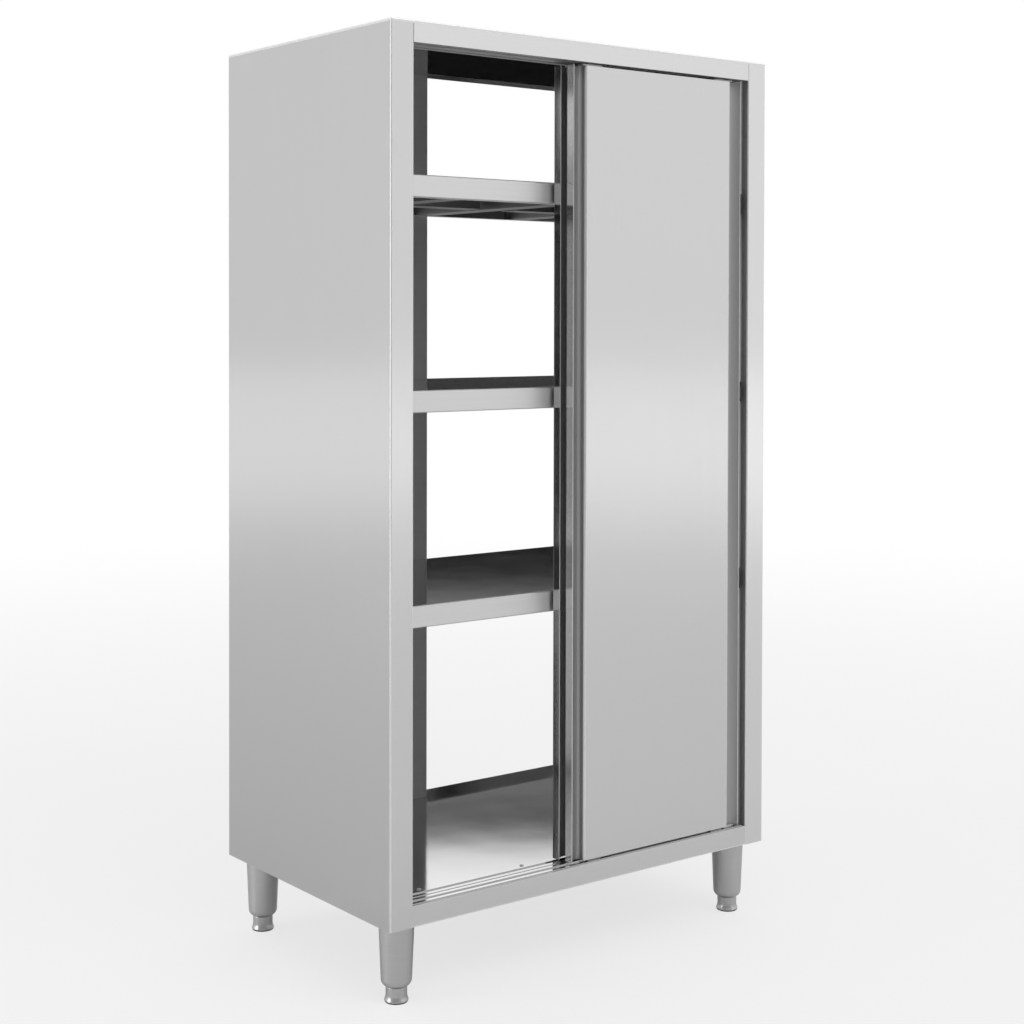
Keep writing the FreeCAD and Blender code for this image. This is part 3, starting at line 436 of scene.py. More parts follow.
def brushed_stainless_with_painted_light(tree, place, code):
    """Stainless sheet brushed along its length with a 180 grit belt: long fine scratches, so lights
    smear across the grain, with slight unflatness of thin sheet and a few wiped marks. Every fold,
    rounded edge and cut edge is painted toward white, a painted highlight."""
    # 180 grit leaves scratches about 0.08 mm apart; they are drawn 0.9 mm apart so that they show.
    grain = noise(tree, scaled(tree, place["UV"], (1 / 0.0009, 1 / 0.12, 1)),
                  Scale=1.0, Detail=3.0, Roughness=0.6)
    # Passes of the belt lie side by side in bands of some 20 mm.
    bands = noise(tree, scaled(tree, place["UV"], (1 / 0.02, 1 / 1.2, 1)), Scale=1.0, Detail=2.0)
    # Thin sheet is out of flat by some tenths of a millimetre over 250 mm.
    sag = noise(tree, place["Object"], Scale=4.0, Detail=1.0)
    wiped = noise(tree, place["Object"], Scale=7.0, Detail=4.0, Distortion=1.5)
    marks = add(tree, "ShaderNodeMapRange", links={"Value": wiped},
                values={"From Min": 0.62, "From Max": 0.8, "To Max": 0.05})
    rough = add(tree, "ShaderNodeMath", settings={"operation": "ADD"},
                links={0: spread(tree, bands, 0.15, 0.2), 1: marks.outputs[0]})
    # Round a fold, a rounded edge or a cut edge the colour is painted toward white as far as the
    # surface bends, a painted highlight, and the roughness rises toward 0.5.
    bent = add(tree, "ShaderNodeAttribute", settings={"attribute_name": "bend"}).outputs["Fac"]
    roughened = add(tree, "ShaderNodeMix", values={3: 0.5}, links={0: bent, 2: rough.outputs[0]})
    painted_edge_highlight = add(tree, "ShaderNodeMix", settings={"data_type": "RGBA"},
                   values={7: linear("#FFFFFF")},
                   links={0: bent, 6: tinted(tree, grain, code, 0.94)})
    scratched = bumped(tree, grain, 0.35, 0.00001)
    unflat = bumped(tree, sag, 1.0, 0.0006, {"Normal": scratched})
    along = add(tree, "ShaderNodeTangent", settings={"direction_type": "UV_MAP", "uv_map": "grain"})
    shaded(tree, {"Metallic": 1.0, "Anisotropic": 0.8},
           {"Base Color": painted_edge_highlight.outputs[2], "Roughness": roughened.outputs[0],
            "Normal": unflat, "Tangent": along.outputs[0]})


def mill_finish_stainless(tree, place, code):
    """Cold-rolled 2B stainless as it leaves the mill, the unbrushed inner face of the sheets: no
    grain, a soft even sheen and faint clouds."""
    clouds = noise(tree, place["Object"], Scale=9.0, Detail=4.0, Roughness=0.6)
    # Pickling leaves a pebbled skin of a few micrometres; it is drawn 1.5 mm wide so that it shows.
    skin = noise(tree, place["Object"], Scale=1 / 0.0015, Detail=2.0)
    # Thin sheet is out of flat by some tenths of a millimetre over 150 mm.
    sag = noise(tree, place["Object"], Scale=6.0, Detail=1.0)
    pebbled = bumped(tree, skin, 0.1, 0.000005)
    unflat = bumped(tree, sag, 1.0, 0.00015, {"Normal": pebbled})
    patterned(tree, {"Metallic": 1.0}, clouds, (code, 0.88), (0.07, 0.11), {"Normal": unflat})


def satin_turned_stainless(tree, place, code):
    """Stainless tube turned and satin polished on a lathe: fine rings round the leg."""
    # Rings of the polishing belt are about 0.1 mm apart; they are drawn 0.7 mm apart.
    rings = noise(tree, scaled(tree, place["Object"], (12, 12, 1 / 0.0007)), Scale=1.0, Detail=3.0)
    handling = noise(tree, place["Object"], Scale=45.0, Detail=3.0)
    shaded(tree, {"Metallic": 1.0},
           {"Base Color": tinted(tree, rings, code, 0.85),
            "Roughness": spread(tree, handling, 0.3, 0.44),
            "Normal": bumped(tree, rings, 0.5, 0.00002)})


def rolled_stainless_strip_with_painted_light(tree, place, code):
    """Stainless strip, rolled and bent into tracks, hangers, ribs and lips: dull, with drawn lines.
    Its copies are painted lighter or darker: the lip copy lighter, painted light, the rib copy
    darker, painted shade, and on the grips, stile returns and right panel's inside the strip colour
    is darker than their sheet, painted shade."""
    # Roll forming draws lines along the strip about 0.5 mm apart; they are drawn 1 mm apart.
    lines = noise(tree, scaled(tree, place["Object"], (3, 1000, 1000)), Scale=1.0, Detail=2.0)
    patterned(tree, {"Metallic": 1.0}, lines, (code, 0.85), (0.4, 0.54),
              {"Normal": bumped(tree, lines, 0.5, 0.00003)})


def zinc_plated_steel(tree, place, code):
    """Bright zinc-plated steel screws and rivets: smooth, cool grey, with a faint mottle."""
    mottle = add(tree, "ShaderNodeTexVoronoi", values={"Scale": 700.0},
                 links={"Vector": place["Object"]}).outputs[0]
    patterned(tree, {"Metallic": 1.0}, mottle, (code, 0.85), (0.25, 0.4))


def machined_brass(tree, place, code):
    """Free-cutting brass bush with tool rings."""
    # The tool advances 0.1 mm a turn; its rings are drawn 0.4 mm apart.
    rings = add(tree, "ShaderNodeTexWave", settings={"bands_direction": "Y"},
                values={"Scale": 1 / 0.0004, "Distortion": 1.0},
                links={"Vector": place["Object"]}).outputs[0]
    patterned(tree, {"Metallic": 1.0}, rings, (code, 0.9), (0.25, 0.35),
              {"Normal": bumped(tree, rings, 0.4, 0.00002)})


def moulded_nylon(tree, place, code):
    """Natural nylon 6, moulded: waxy, slightly see-through, with a fine spark-eroded skin."""
    # The mould's skin has grains of some 0.1 mm; they are drawn 0.4 mm wide.
    skin = noise(tree, place["Object"], Scale=1 / 0.0004, Detail=2.0)
    patterned(tree, {"IOR": 1.53, "Subsurface Weight": 0.15, "Subsurface Scale": 0.002}, skin,
              (code, 0.92), (0.4, 0.55), {"Normal": bumped(tree, skin, 0.3, 0.00003)})


def extruded_epdm_rubber(tree, place, code):
    """EPDM rubber, cut from extruded strip: matt and slightly dusty."""
    # The extruder leaves grains of some 0.2 mm; they are drawn 0.6 mm wide.
    grains = noise(tree, place["Object"], Scale=1 / 0.0006, Detail=3.0)
    patterned(tree, {"IOR": 1.52}, grains, (code, 0.6), (0.7, 0.9),
              {"Normal": bumped(tree, grains, 0.5, 0.00008)})


def moulded_polypropylene(tree, place, code):
    """Dark grey polypropylene glide, moulded: satin, scuffed by the floor."""
    # Scuffs are a few tenths of a millimetre across; they are drawn 0.8 mm wide.
    scuffs = noise(tree, place["Object"], Scale=1 / 0.0008, Detail=4.0)
    patterned(tree, {"IOR": 1.49}, scuffs, (code, 0.7), (0.45, 0.6),
              {"Normal": bumped(tree, scuffs, 0.4, 0.00005)})


def pale_matt_floor_paint(tree, place, code):
    """Pale matt painted floor that runs out to white with distance: from 2.2 m to 12 m from the
    cabinet it blends from the lit paint, which keeps the shadow, to plain white. The picture
    itself sees the paint overlaid with white, so that the shadow stays light."""
    roller = noise(tree, place["Object"], Scale=120.0, Detail=3.0)
    distance = add(tree, "ShaderNodeVectorMath", settings={"operation": "LENGTH"},
                   links={0: place["Object"]}).outputs["Value"]
    away, overlaid = (
        add(tree, "ShaderNodeMapRange", settings={"interpolation_type": "SMOOTHSTEP"},
            values={"From Min": near, "From Max": far, "To Min": least},
            links={"Value": distance}).outputs[0]
        for near, far, least in ((2.2, 12.0, 0.0), (1.0, 7.0, 0.7)))
    ray = add(tree, "ShaderNodeLightPath").outputs
    nearer = add(tree, "ShaderNodeMix", links={0: ray["Is Camera Ray"], 2: away, 3: overlaid})
    # 1 for what is seen in the picture, in a gloss or through glass; 0 for what lights a surface.
    seen = larger(tree, larger(tree, ray["Is Camera Ray"], ray["Is Glossy Ray"]),
                  ray["Is Transmission Ray"])
    share = add(tree, "ShaderNodeMath", settings={"operation": "MULTIPLY"},
                links={0: nearer.outputs[0], 1: seen})
    paint = add(tree, "ShaderNodeBsdfPrincipled",
                values={"Roughness": 0.9, "Specular IOR Level": 0.2},
                links={"Base Color": tinted(tree, roller, code, 0.98)})
    white = add(tree, "ShaderNodeEmission", values={"Color": (1, 1, 1, 1), "Strength": 1.0})
    both = add(tree, "ShaderNodeMixShader",
               links={0: share.outputs[0], 1: paint.outputs[0], 2: white.outputs[0]})
    add(tree, "ShaderNodeOutputMaterial", links={"Surface": both.outputs[0]})


def wool_felt(tree, place, code):
    """Felt of the studio's screens."""
    nap = noise(tree, place["Object"], Scale=60.0, Detail=3.0)
    shaded(tree, {"Roughness": 1.0, "Specular IOR Level": 0.0},
           {"Base Color": tinted(tree, nap, code, 0.7)})


FINISHES = {
    "brushed": brushed_stainless_with_painted_light,
    "bright": brushed_stainless_with_painted_light,
    "side": brushed_stainless_with_painted_light,
    "mill": mill_finish_stainless,
    "satin": satin_turned_stainless,
    "strip": rolled_stainless_strip_with_painted_light,
    "rib": rolled_stainless_strip_with_painted_light,
    "lip": rolled_stainless_strip_with_painted_light,
    "plated": zinc_plated_steel,
    "brass": machined_brass,
    "nylon": moulded_nylon,
    "rubber": extruded_epdm_rubber,
    "glide": moulded_polypropylene,
    "floor": pale_matt_floor_paint,
    "black": wool_felt,
    "band": wool_felt,
    "grey": wool_felt,
}
made = {}


def material(finish):
    """The finish, made once: its function, which it is named for, draws it into an empty tree from
    the outputs that say where a point lies and its written colour."""
    if finish not in made:
        draw = FINISHES[finish]
        made[finish] = bpy.data.materials.new(draw.__name__)
        made[finish].use_nodes = True
        tree = made[finish].node_tree
        tree.nodes.clear()
        draw(tree, add(tree, "ShaderNodeTexCoord").outputs,
             getattr(bpy.context.scene.cabinet_colours, finish))
    return made[finish]


# ------------------------------------------------------------------ operators
class CABINET_OT_side_panels(bpy.types.Operator):
    """Side panels: sheet folded along four edges into return, stile, side and rear return"""
    bl_idname = "cabinet.side_panels"
    bl_label = "Side Panels"

    def execute(self, context):
        """The section is carried upwards. Below the floor's level the stile's inner fold is filled
        and ground flush with the rail, so its radius there is that of a cut edge. The finishes are
        those of the stile, the inside, the stile's return and the outer side face."""
        sheet = context.scene.cabinet_sheet
        floor_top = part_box("floor_panel")[1].z
        # Painted light and shade on the side panels: the outer side faces take a darker copy of the
        # brushed steel, painted shade; the right stile a lighter copy, painted light; the stile
        # returns and the right panel's inside the darker strip colour, painted shade.
        for hand, side, finishes in (("left", -1, ["brushed", "mill", "strip", "side"]),
                                     ("right", 1, ["bright", "strip", "strip", "side"])):
            node = f"{hand}_side_panel"
            low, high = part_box(node)
            outer = low.x if side < 0 else high.x
            inner = outer - side * sheet.stile
            path = [(inner, low.y + sheet.stile_return), (inner, low.y), (outer, low.y),
                    (outer, high.y), (outer - side * sheet.rear_return, high.y)]
            ground_folds = [sheet.cut, sheet.fold, sheet.fold]
            ground = folded_ring(path, side, sheet.gauge, ground_folds, sheet.cut)
            folded = folded_ring(path, side, sheet.gauge, sheet.fold, sheet.cut)
            points = np.stack([ground[0], ground[0], folded[0], folded[0]])
            normals = np.stack([ground[1], ground[1], folded[1], folded[1]])
            heights = [low.z, floor_top - sheet.cut, floor_top, high.z]
            surface = run_along((points, normals), UP, heights)
            numbers = np.where(folded[2] == 0, 2, folded[2] >= len(path))
            # The side face starts at the last point of the path's third corner.
            numbers[3 * CORNER - 1] = 3
            piece(f"{hand}_side", [grid(surface, finish=numbers)], "casing",
                  finishes, [node])
        return {"FINISHED"}


class CABINET_OT_roof(bpy.types.Operator):
    """Roof tray with its rim turned down all round, and the header below its front edge"""
    bl_idname = "cabinet.roof"
    bl_label = "Roof and Header"

    def execute(self, context):
        """The rim's section is carried round the roof's rounded outline: each point of the outline
        moves in by the section's first number. The rows run from the middle of the roof's top over
        the rim to the middle of its underside."""
        sheet = context.scene.cabinet_sheet
        low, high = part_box("roof_panel")
        outline, aside, _ = rounded_ring(rectangle(low.x, high.x, low.y, high.y), sheet.fold)
        deep = (high.y - low.y) / 2
        section, tilt, _ = rounded_ring(
            [(-deep, high.z), (0, high.z), (0, high.z - sheet.rim),
             (-sheet.gauge, high.z - sheet.rim), (-sheet.gauge, high.z - sheet.gauge),
             (-deep, high.z - sheet.gauge)],
            [0, sheet.fold, sheet.cut, sheet.cut, sheet.fold - sheet.gauge, 0])
        rim = slice(CORNER, 5 * CORNER)
        section, tilt = section[rim], tilt[rim]
        shape = (len(section), len(outline), 1)
        spots = np.concatenate([outline[None] + section[:, :1, None] * aside[None],
                                np.broadcast_to(section[:, 1:, None], shape)], axis=2)
        facing = np.concatenate([tilt[:, :1, None] * aside[None],
                                 np.broadcast_to(tilt[:, 1:, None], shape)], axis=2)
        inner = np.arange(len(section))[:, None] >= 2 * CORNER
        face = rounded_ring(rectangle(low.y, low.y + sheet.gauge, low.z, high.z - sheet.rim),
                            sheet.cut)
        header = run_along(face, ACROSS, [low.x + sheet.stile, high.x - sheet.stile])
        behind = (face[2] == 1) | (face[2] == 2)
        # The roof's top, rim and header front take the lighter copy of the brushed steel, painted
        # light.
        piece("roof", [grid((spots, facing), finish=inner), grid(header, finish=behind)],
              "casing", ["bright", "mill"], ["roof_panel"])
        return {"FINISHED"}


class CABINET_OT_floor(bpy.types.Operator):
    """Cabinet floor folded down into the front rail, the rear rail and the rear centre post"""
    bl_idname = "cabinet.floor"
    bl_label = "Floor and Rails"

    def execute(self, context):
        """Folded sections carried from side to side, and the post's section carried upwards."""
        sheet = context.scene.cabinet_sheet
        low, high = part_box("floor_panel")
        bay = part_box("roof_panel")[1].x - sheet.stile
        path = [(low.y + sheet.rail_return, low.z), (low.y, low.z), (low.y, high.z),
                (high.y, high.z)]
        ring = folded_ring(path, -1, sheet.gauge, sheet.fold, sheet.cut)
        grids = [grid(run_along(ring, ACROSS, [-bay, bay]), finish=ring[2] >= 2)]
        edge = rounded_ring(rectangle(low.y + sheet.stile_return, high.y - sheet.fold + sheet.gauge,
                                      high.z - sheet.gauge, high.z), sheet.cut)
        for start, end in ((low.x, -bay), (bay, high.x)):
            grids.append(grid(run_along(edge, ACROSS, [start, end]), finish=1))
        piece("floor_and_rail", grids, "casing", ["brushed", "mill"],
              ["floor_panel"])

        low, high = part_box("rear_bottom_rail")
        path = [(high.y - sheet.rail_return, low.z), (high.y, low.z), (high.y, high.z)]
        ring = folded_ring(path, 1, sheet.gauge, sheet.fold, sheet.cut)
        rail = run_along(ring, ACROSS, [low.x, high.x])
        piece("rear_rail", [grid(rail, finish=ring[2] >= len(path))], "casing",
              ["brushed", "mill"], ["rear_bottom_rail"])

        low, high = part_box("rear_centre_post")
        strip = rounded_ring(rectangle(low.x, high.x, low.y, high.y), sheet.cut)
        # The rear post takes the lighter lip copy of the rolled strip, painted light.
        piece("rear_post", [grid(run_along(strip, UP, [low.z, high.z]))], "casing",
              ["lip"], ["rear_centre_post"])
        return {"FINISHED"}


class CABINET_OT_shelves(bpy.types.Operator):
    """Three shelves, each a tray folded down at the front and rear, with channels beneath"""
    bl_idname = "cabinet.shelves"
    bl_label = "Shelves"

    def execute(self, context):
        """The tray's folded section is carried from side to side."""
        sheet = context.scene.cabinet_sheet
        for level in ("lower", "middle", "upper"):
            node = f"{level}_shelf"
            low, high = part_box(node)
            path = [(low.y + sheet.lip_return, low.z), (low.y, low.z), (low.y, high.z),
                    (high.y, high.z), (high.y, low.z), (high.y - sheet.lip_return, low.z)]
            ring = folded_ring(path, -1, sheet.gauge, sheet.fold, sheet.cut)
            unbrushed = (ring[2] == 2) | (ring[2] >= len(path))
            tray = run_along(ring, ACROSS, [low.x, high.x])
            # The shelf's faces take the lighter lip copy of the rolled strip, painted light.
            piece(f"{level}_shelf_tray", [grid(tray, finish=unbrushed)], "casing",
                  ["lip", "mill"], [node])
        return {"FINISHED"}


class CABINET_OT_doors(bpy.types.Operator):
    """Two hollow doors, each with a concave grip channel along both upright edges"""
    bl_idname = "cabinet.doors"
    bl_label = "Doors"

    def execute(self, context):
        """The section goes round the rear edge, up the side, round the nose, down the grip's wide
        arc to its deepest line, round its corner, up its steep wall and round the lip onto the flat
        face, and its mirror image closes it. The wide arc touches the nose and the grip's deepest
        line, which gives its radius. Each turn is a centre, a radius, negative where the metal is
        hollow, and the angles that its normal goes through. The finishes are those of the faces, of
        the inner door's upright sides, and of the grips."""
        door = context.scene.cabinet_door
        sheet = context.scene.cabinet_sheet
        corner = door.grip_wide - door.lip - door.grip_floor
        reach = door.grip_floor - door.nose
        rise = door.grip_deep - door.nose
        radius = (reach ** 2 + rise ** 2 - door.nose ** 2) / (2 * door.grip_deep)
        quarter = math.pi / 2
        short, wide = 2 * ARC_STEPS, 5 * ARC_STEPS
        share = np.linspace(0, 1, short)
        side_at = short - 1
        grip_from, grip_to = 2 * short - 1, 3 * short + wide
        for lane in ("outer", "inner"):
            low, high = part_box(f"{lane}_door_skin")
            edge = (low.x - high.x) / 2
            middle = (high.x + low.x) / 2
            back = high.y - low.y
            hub = (edge + door.grip_floor, door.grip_deep - radius)
            to_hub = math.atan2(hub[1] - door.nose, hub[0] - edge - door.nose)
            turns = [
                ((edge + sheet.cut, back - sheet.cut), sheet.cut, quarter + share * quarter),
                ((edge + door.nose, door.nose), door.nose,
                 -math.pi + share * (to_hub + math.pi)),
                (hub, -radius, np.linspace(to_hub, -quarter, wide)),
                ((edge + door.grip_floor, door.grip_deep - corner), -corner,
                 -quarter - share * quarter),
                ((edge + door.grip_wide, door.lip), door.lip, -math.pi + share * quarter),
            ]
            rounds = [np.stack([np.cos(angle), np.sin(angle)], axis=1) for _, _, angle in turns]
            points = np.concatenate([centre + size * facing
                                     for (centre, size, _), facing in zip(turns, rounds)])
            normals = np.concatenate(rounds)
            points = np.concatenate([points, points[::-1] * [-1, 1]]) + [middle, low.y]
            normals = np.concatenate([normals, normals[::-1] * [-1, 1]])
            surface = run_along((points, normals), UP, [low.z, high.z])
            place = np.arange(len(points))
            place = np.minimum(place, len(points) - 2 - place)
            # The grips take the strip finish: rougher, and darker than the door's face, painted
            # shade in the channel.
            grip = (place >= grip_from) & (place < grip_to)
            # The inner door's upright sides take the darker mill finish where the outer door's are
            # brushed: painted shade.
            side = (place == side_at) & (lane == "inner")
            piece(f"{lane}_door_front", [grid(surface, finish=side + 2 * grip)], f"{lane}_door",
                  ["brushed", "mill", "strip"], [f"{lane}_door_skin"])
            low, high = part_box(f"{lane}_door_liner")
            ring = rounded_ring(rectangle(low.x, high.x, low.y, high.y), sheet.cut)
            piece(f"{lane}_door_rear", [grid(run_along(ring, UP, [low.z, high.z]))],
                  f"{lane}_door", ["mill"], [f"{lane}_door_liner"])
        return {"FINISHED"}


class CABINET_OT_legs(bpy.types.Operator):
    """Four tapered legs with rounded shoulders, their feet with threaded screws, and the glides"""
    bl_idname = "cabinet.legs"
    bl_label = "Legs and Feet"

    def execute(self, context):
        """Sections turned about each leg's axis. The screw's radius goes down and up once a pitch
        as height minus one pitch a turn grows, which winds its thread."""
        leg = context.scene.cabinet_leg
        cut = 2 * context.scene.cabinet_sheet.cut
        for end in ("front", "rear"):
            for hand in ("left", "right"):
                self.leg(leg, cut, f"{end}_{hand}")
                self.foot(leg, cut, f"{end}_{hand}")
        return {"FINISHED"}

    def leg(self, leg, cut, name):
        low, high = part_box(f"leg_{name}")
        centre = (low + high) / 2
        top = (high.x - low.x) / 2
        swell = leg.low_radius - leg.neck_radius
        arc = (swell ** 2 + leg.shoulder ** 2) / (2 * swell)
        sweep = math.asin(leg.shoulder / arc)
        angle = np.linspace(-sweep, 0, 2 * ARC_STEPS)
        shoulder = np.stack([leg.low_radius - arc + arc * np.cos(angle),
                             low.z + leg.shoulder + arc * np.sin(angle)], axis=1)
        bulge = np.stack([np.cos(angle), np.sin(angle)], axis=1)
        bore = leg.neck_radius - leg.wall
        upper, tilt, _ = rounded_ring(
            [(bore, low.z), (leg.low_radius, low.z + leg.shoulder), (top, high.z), (bore, high.z)],
            [0, 0, cut, cut])
        upper, tilt = upper[2 * CORNER:], tilt[2 * CORNER:]
        foot_edge = np.array([(bore, low.z), (leg.neck_radius, low.z)])
        down = np.array([(0.0, -1.0), (0.0, -1.0)])
        points = np.concatenate([foot_edge, shoulder, upper])
        normals = np.concatenate([down, bulge, tilt])
        piece(f"leg_tube_{name}", [grid(turned((points, normals), centre), joined=True)],
              "casing", ["satin"], [f"leg_{name}"])

    def foot(self, leg, cut, name):
        low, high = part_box(f"foot_{name}")
        centre = (low + high) / 2
        base = (high.x - low.x) / 2
        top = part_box(f"leg_{name}")[0].z - leg.seam
        neck = base - leg.flare
        ring = rounded_ring(
            [(leg.screw_radius, low.z), (base, low.z), (base, low.z + leg.base_tall),
             (neck, low.z + leg.flare_tall), (neck, top), (leg.screw_radius, top)],
            [0, cut, 2 * cut, leg.flare_round, 3 * cut, 0])
        keep = np.r_[0, CORNER:5 * CORNER, 6 * CORNER - 1]
        section = (ring[0][keep], ring[1][keep])
        turns = np.linspace(low.z + leg.thread_from, high.z, THREAD_ROWS)
        around = np.linspace(0, 1, ROUND_STEPS, endpoint=False)
        wave = (turns[:, None] / leg.thread_pitch - around[None]) % 1.0
        radius = leg.screw_radius - leg.thread_deep * np.abs(2 * wave - 1)
        slope = 2 * leg.thread_deep / leg.thread_pitch * np.sign(0.5 - wave)
        angle = 2 * np.pi * around[None]
        spots = np.stack([centre.x + radius * np.cos(angle),
                          centre.y + radius * np.sin(angle),
                          np.broadcast_to(turns[:, None], radius.shape)], axis=-1)
        facing = np.stack([np.broadcast_to(np.cos(angle), radius.shape),
                           np.broadcast_to(np.sin(angle), radius.shape), -slope], axis=-1)
        facing /= np.linalg.norm(facing, axis=2)[..., None]
        piece(f"foot_cup_{name}", [grid(turned(section, centre), joined=True),
                                   grid((spots, facing))],
              f"{name}_foot", ["satin"], [f"foot_{name}"])
        low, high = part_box(f"glide_{name}")
        radius = (high.x - low.x) / 2
        disc = rounded_ring(rectangle(leg.glide_hole, radius, low.z, low.z + leg.glide_tall),
                            [0, 2 * cut, cut, 0])
        keep = np.r_[0, CORNER:3 * CORNER, 4 * CORNER - 1]
        piece(f"glide_disc_{name}", [grid(turned((disc[0][keep], disc[1][keep]), centre))],
              f"{name}_foot", ["glide"], [f"glide_{name}"])


class CABINET_OT_fittings(bpy.types.Operator):
    """Finishes of the ribs, brackets, tracks, trolleys, guides and fasteners"""
    bl_idname = "cabinet.fittings"
    bl_label = "Fittings"

    finish_of = {
        "casing_steel": "brushed",
        # The channels and brackets under the shelves take the darker rib copy, painted shade.
        "shelf_steel": "rib",
        "door_steel": "brushed",
        "leg_steel": "satin",
        "track_steel": "strip",
        "fastener_steel": "plated",
        "bush_brass": "brass",
        "nylon": "nylon",
        "stop_rubber": "rubber",
        "glide_plastic": "glide",
    }
    own_finish = {"lower_track": "mill"}

    def execute(self, context):
        """Every node that still shows takes its own finish, or else its slot's."""
        slots = {part["node"]: part["material_slot"] for part in frame["record"]["subparts"]}
        for name, item in frame["nodes"].items():
            finish = self.own_finish.get(name, self.finish_of[slots[name]])
            item.data.materials.clear()
            item.data.materials.append(material(finish))
        return {"FINISHED"}


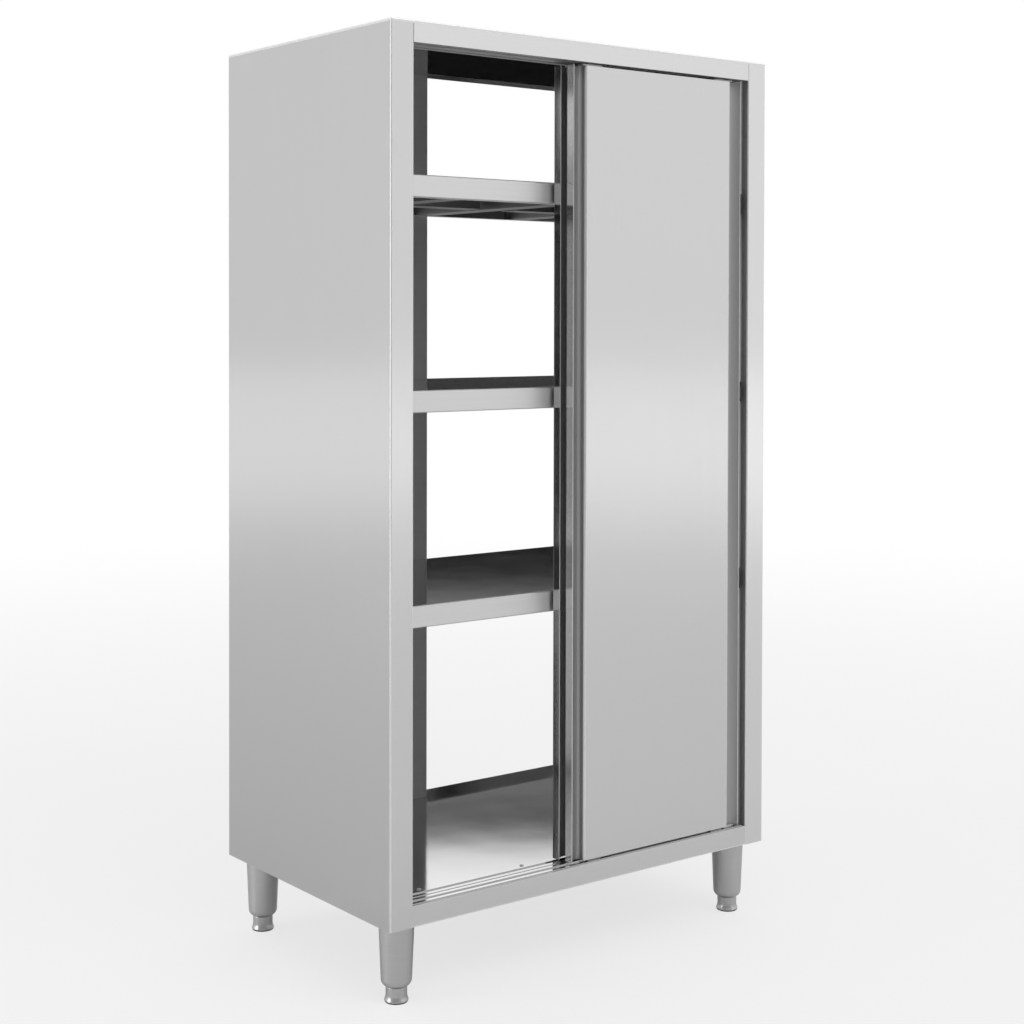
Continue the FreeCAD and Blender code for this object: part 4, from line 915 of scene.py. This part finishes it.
class CABINET_OT_stage(bpy.types.Operator):
    """Pale floor, soft light from all round, softboxes, dark screens and the camera"""
    bl_idname = "cabinet.stage"
    bl_label = "Stage"

    def execute(self, context):
        stage = context.scene.cabinet_stage
        self.world(stage)
        self.floor(stage)
        self.screens(stage)
        self.lamps()
        self.camera(context.scene)
        return {"FINISHED"}

    def world(self, stage):
        """White in the picture, a pale wall in the gloss of metal, and the fill light elsewhere."""
        world = bpy.data.worlds.new("studio")
        world.use_nodes = True
        tree = world.node_tree
        tree.nodes.clear()
        ray = add(tree, "ShaderNodeLightPath").outputs
        white, wall, fill = (
            add(tree, "ShaderNodeBackground",
                values={"Color": (1, 1, 1, 1), "Strength": strength}).outputs[0]
            for strength in (1.0, stage.wall, stage.fill))
        gloss = larger(tree, ray["Is Glossy Ray"], ray["Is Transmission Ray"])
        lit = add(tree, "ShaderNodeMixShader", links={0: gloss, 1: fill, 2: wall})
        both = add(tree, "ShaderNodeMixShader",
                   links={0: ray["Is Camera Ray"], 1: lit.outputs[0], 2: white})
        add(tree, "ShaderNodeOutputWorld", links={"Surface": both.outputs[0]})
        bpy.context.scene.world = world

    def floor(self, stage):
        """Round floor: one flat face, its rim the radius times the cosine and sine of an angle that
        goes once round."""
        angle = np.linspace(0, 2 * np.pi, FLOOR_STEPS, endpoint=False)
        rim = stage.floor_radius * np.stack([np.cos(angle), np.sin(angle), 0 * angle], axis=1)
        mesh = bpy.data.meshes.new("floor")
        mesh.from_pydata(rim.tolist(), [], [list(range(len(rim)))])
        item = shown("floor", mesh, ["floor"])

    def screens(self, stage):
        """Cloth screens seen only in the gloss of the metal: black and grey stripes behind the
        cabinet, which the shelves and the floor mirror, and grey on the camera's side. Each is a
        wall along an arc: its name, its two headings in degrees from +Y towards +X, the heights of
        its lower and upper edges in metres, and its cloth."""
        behind, before = (27, 43), (172, 292)
        for name, headings, start, end, cloth in (
                ("rear_screen_1", behind, 0.0, 1.3, "black"),
                ("rear_screen_2", behind, 1.3, 1.46, "band"),
                ("rear_screen_3", behind, 1.46, stage.black_tall, "black"),
                ("rear_screen_4", behind, stage.black_tall, 2.02, "grey"),
                ("rear_screen_5", behind, 2.02, stage.band_tall, "band"),
                ("front_screen", before, 0.0, stage.front_tall, "grey")):
            heading = np.radians(np.linspace(*headings, SCREEN_STEPS))
            foot = stage.screen_near * np.stack([np.sin(heading), np.cos(heading), 0 * heading],
                                                axis=1)
            spots = np.concatenate([foot + [0, 0, start], foot + [0, 0, end]])
            count = len(foot)
            step = np.arange(count - 1)
            faces = np.stack([step, step + 1, step + 1 + count, step + count], axis=1)
            mesh = bpy.data.meshes.new(name)
            mesh.from_pydata(spots.tolist(), [], faces.tolist())
            item = shown(name, mesh, [cloth])
            item.visible_camera = False
            item.visible_diffuse = False
            item.visible_shadow = False

    def lamps(self):
        """Softboxes: name, place, what they look at, width, height and brightness (1 is white)."""
        boxes = [
            ("key", (0.6, -4.2, 5.6), (0, 0, 0.9), 3.0, 2.6, 2.5),
            ("strip", (-5.8, 1.55, 1.6), (0, 0, 1.4), 1.6, 3.2, 5.0),
            ("rear", (4.31, 5.58, 3.28), (0, 0, 3.28), 2.6, 1.9, 0.45),
        ]
        for name, place, target, wide, tall, brightness in boxes:
            light = bpy.data.lights.new(name, "AREA")
            light.shape = "RECTANGLE"
            light.size, light.size_y = wide, tall
            light.energy = brightness * math.pi * wide * tall
            item = bpy.data.objects.new(name, light)
            item.location = place
            towards = Vector(target) - Vector(place)
            item.rotation_euler = towards.to_track_quat("-Z", "Y").to_euler()
            item.visible_camera = False
            bpy.context.scene.collection.objects.link(item)

    def camera(self, scene):
        """Standing height, to the front left, with the lens shifted down to take in the feet."""
        yaw, pitch, roll = (math.radians(angle) for angle in CAMERA_TURN)
        ahead = Vector((math.sin(yaw) * math.cos(pitch), math.cos(yaw) * math.cos(pitch),
                        math.sin(pitch)))
        right = Vector((math.cos(yaw), -math.sin(yaw), 0))
        up = right.cross(ahead)
        level_right = math.cos(roll) * right + math.sin(roll) * up
        level_up = -math.sin(roll) * right + math.cos(roll) * up
        data = bpy.data.cameras.new("camera")
        data.lens = CAMERA_LENS
        data.sensor_width = CAMERA_SENSOR
        data.shift_y = CAMERA_SHIFT
        item = bpy.data.objects.new("camera", data)
        item.matrix_world = Matrix.Translation(CAMERA_PLACE) @ Matrix(
            [level_right, level_up, -ahead]).transposed().to_4x4()
        scene.collection.objects.link(item)
        scene.camera = item
        scene.view_settings.view_transform = "Standard"


OPERATORS = (
    CABINET_OT_side_panels,
    CABINET_OT_roof,
    CABINET_OT_floor,
    CABINET_OT_shelves,
    CABINET_OT_doors,
    CABINET_OT_legs,
    CABINET_OT_fittings,
    CABINET_OT_stage,
)


class CABINET_PT_panel(bpy.types.Panel):
    """Sizes, colours and building steps of the cabinet"""
    bl_idname = "CABINET_PT_panel"
    bl_label = "Sliding Door Cabinet"
    bl_space_type = "VIEW_3D"
    bl_region_type = "UI"
    bl_category = "Cabinet"

    def draw(self, context):
        for name, group in GROUPS.items():
            settings = getattr(context.scene, name)
            box = self.layout.box()
            for prop in group.__annotations__:
                box.prop(settings, prop)
        for operator in OPERATORS:
            self.layout.operator(operator.bl_idname)


def register():
    for item in (*GROUPS.values(), *OPERATORS, CABINET_PT_panel):
        bpy.utils.register_class(item)
    for name, group in GROUPS.items():
        setattr(bpy.types.Scene, name, bpy.props.PointerProperty(type=group))


def unregister():
    for name in GROUPS:
        delattr(bpy.types.Scene, name)
    for item in (CABINET_PT_panel, *OPERATORS[::-1], *tuple(GROUPS.values())[::-1]):
        bpy.utils.unregister_class(item)


def main():
    register()
    bpy.ops.cabinet.side_panels()
    bpy.ops.cabinet.roof()
    bpy.ops.cabinet.floor()
    bpy.ops.cabinet.shelves()
    bpy.ops.cabinet.doors()
    bpy.ops.cabinet.legs()
    bpy.ops.cabinet.fittings()
    bpy.ops.cabinet.stage()
    bpy.context.view_layer.update()


if __name__ == "__main__":
    main()
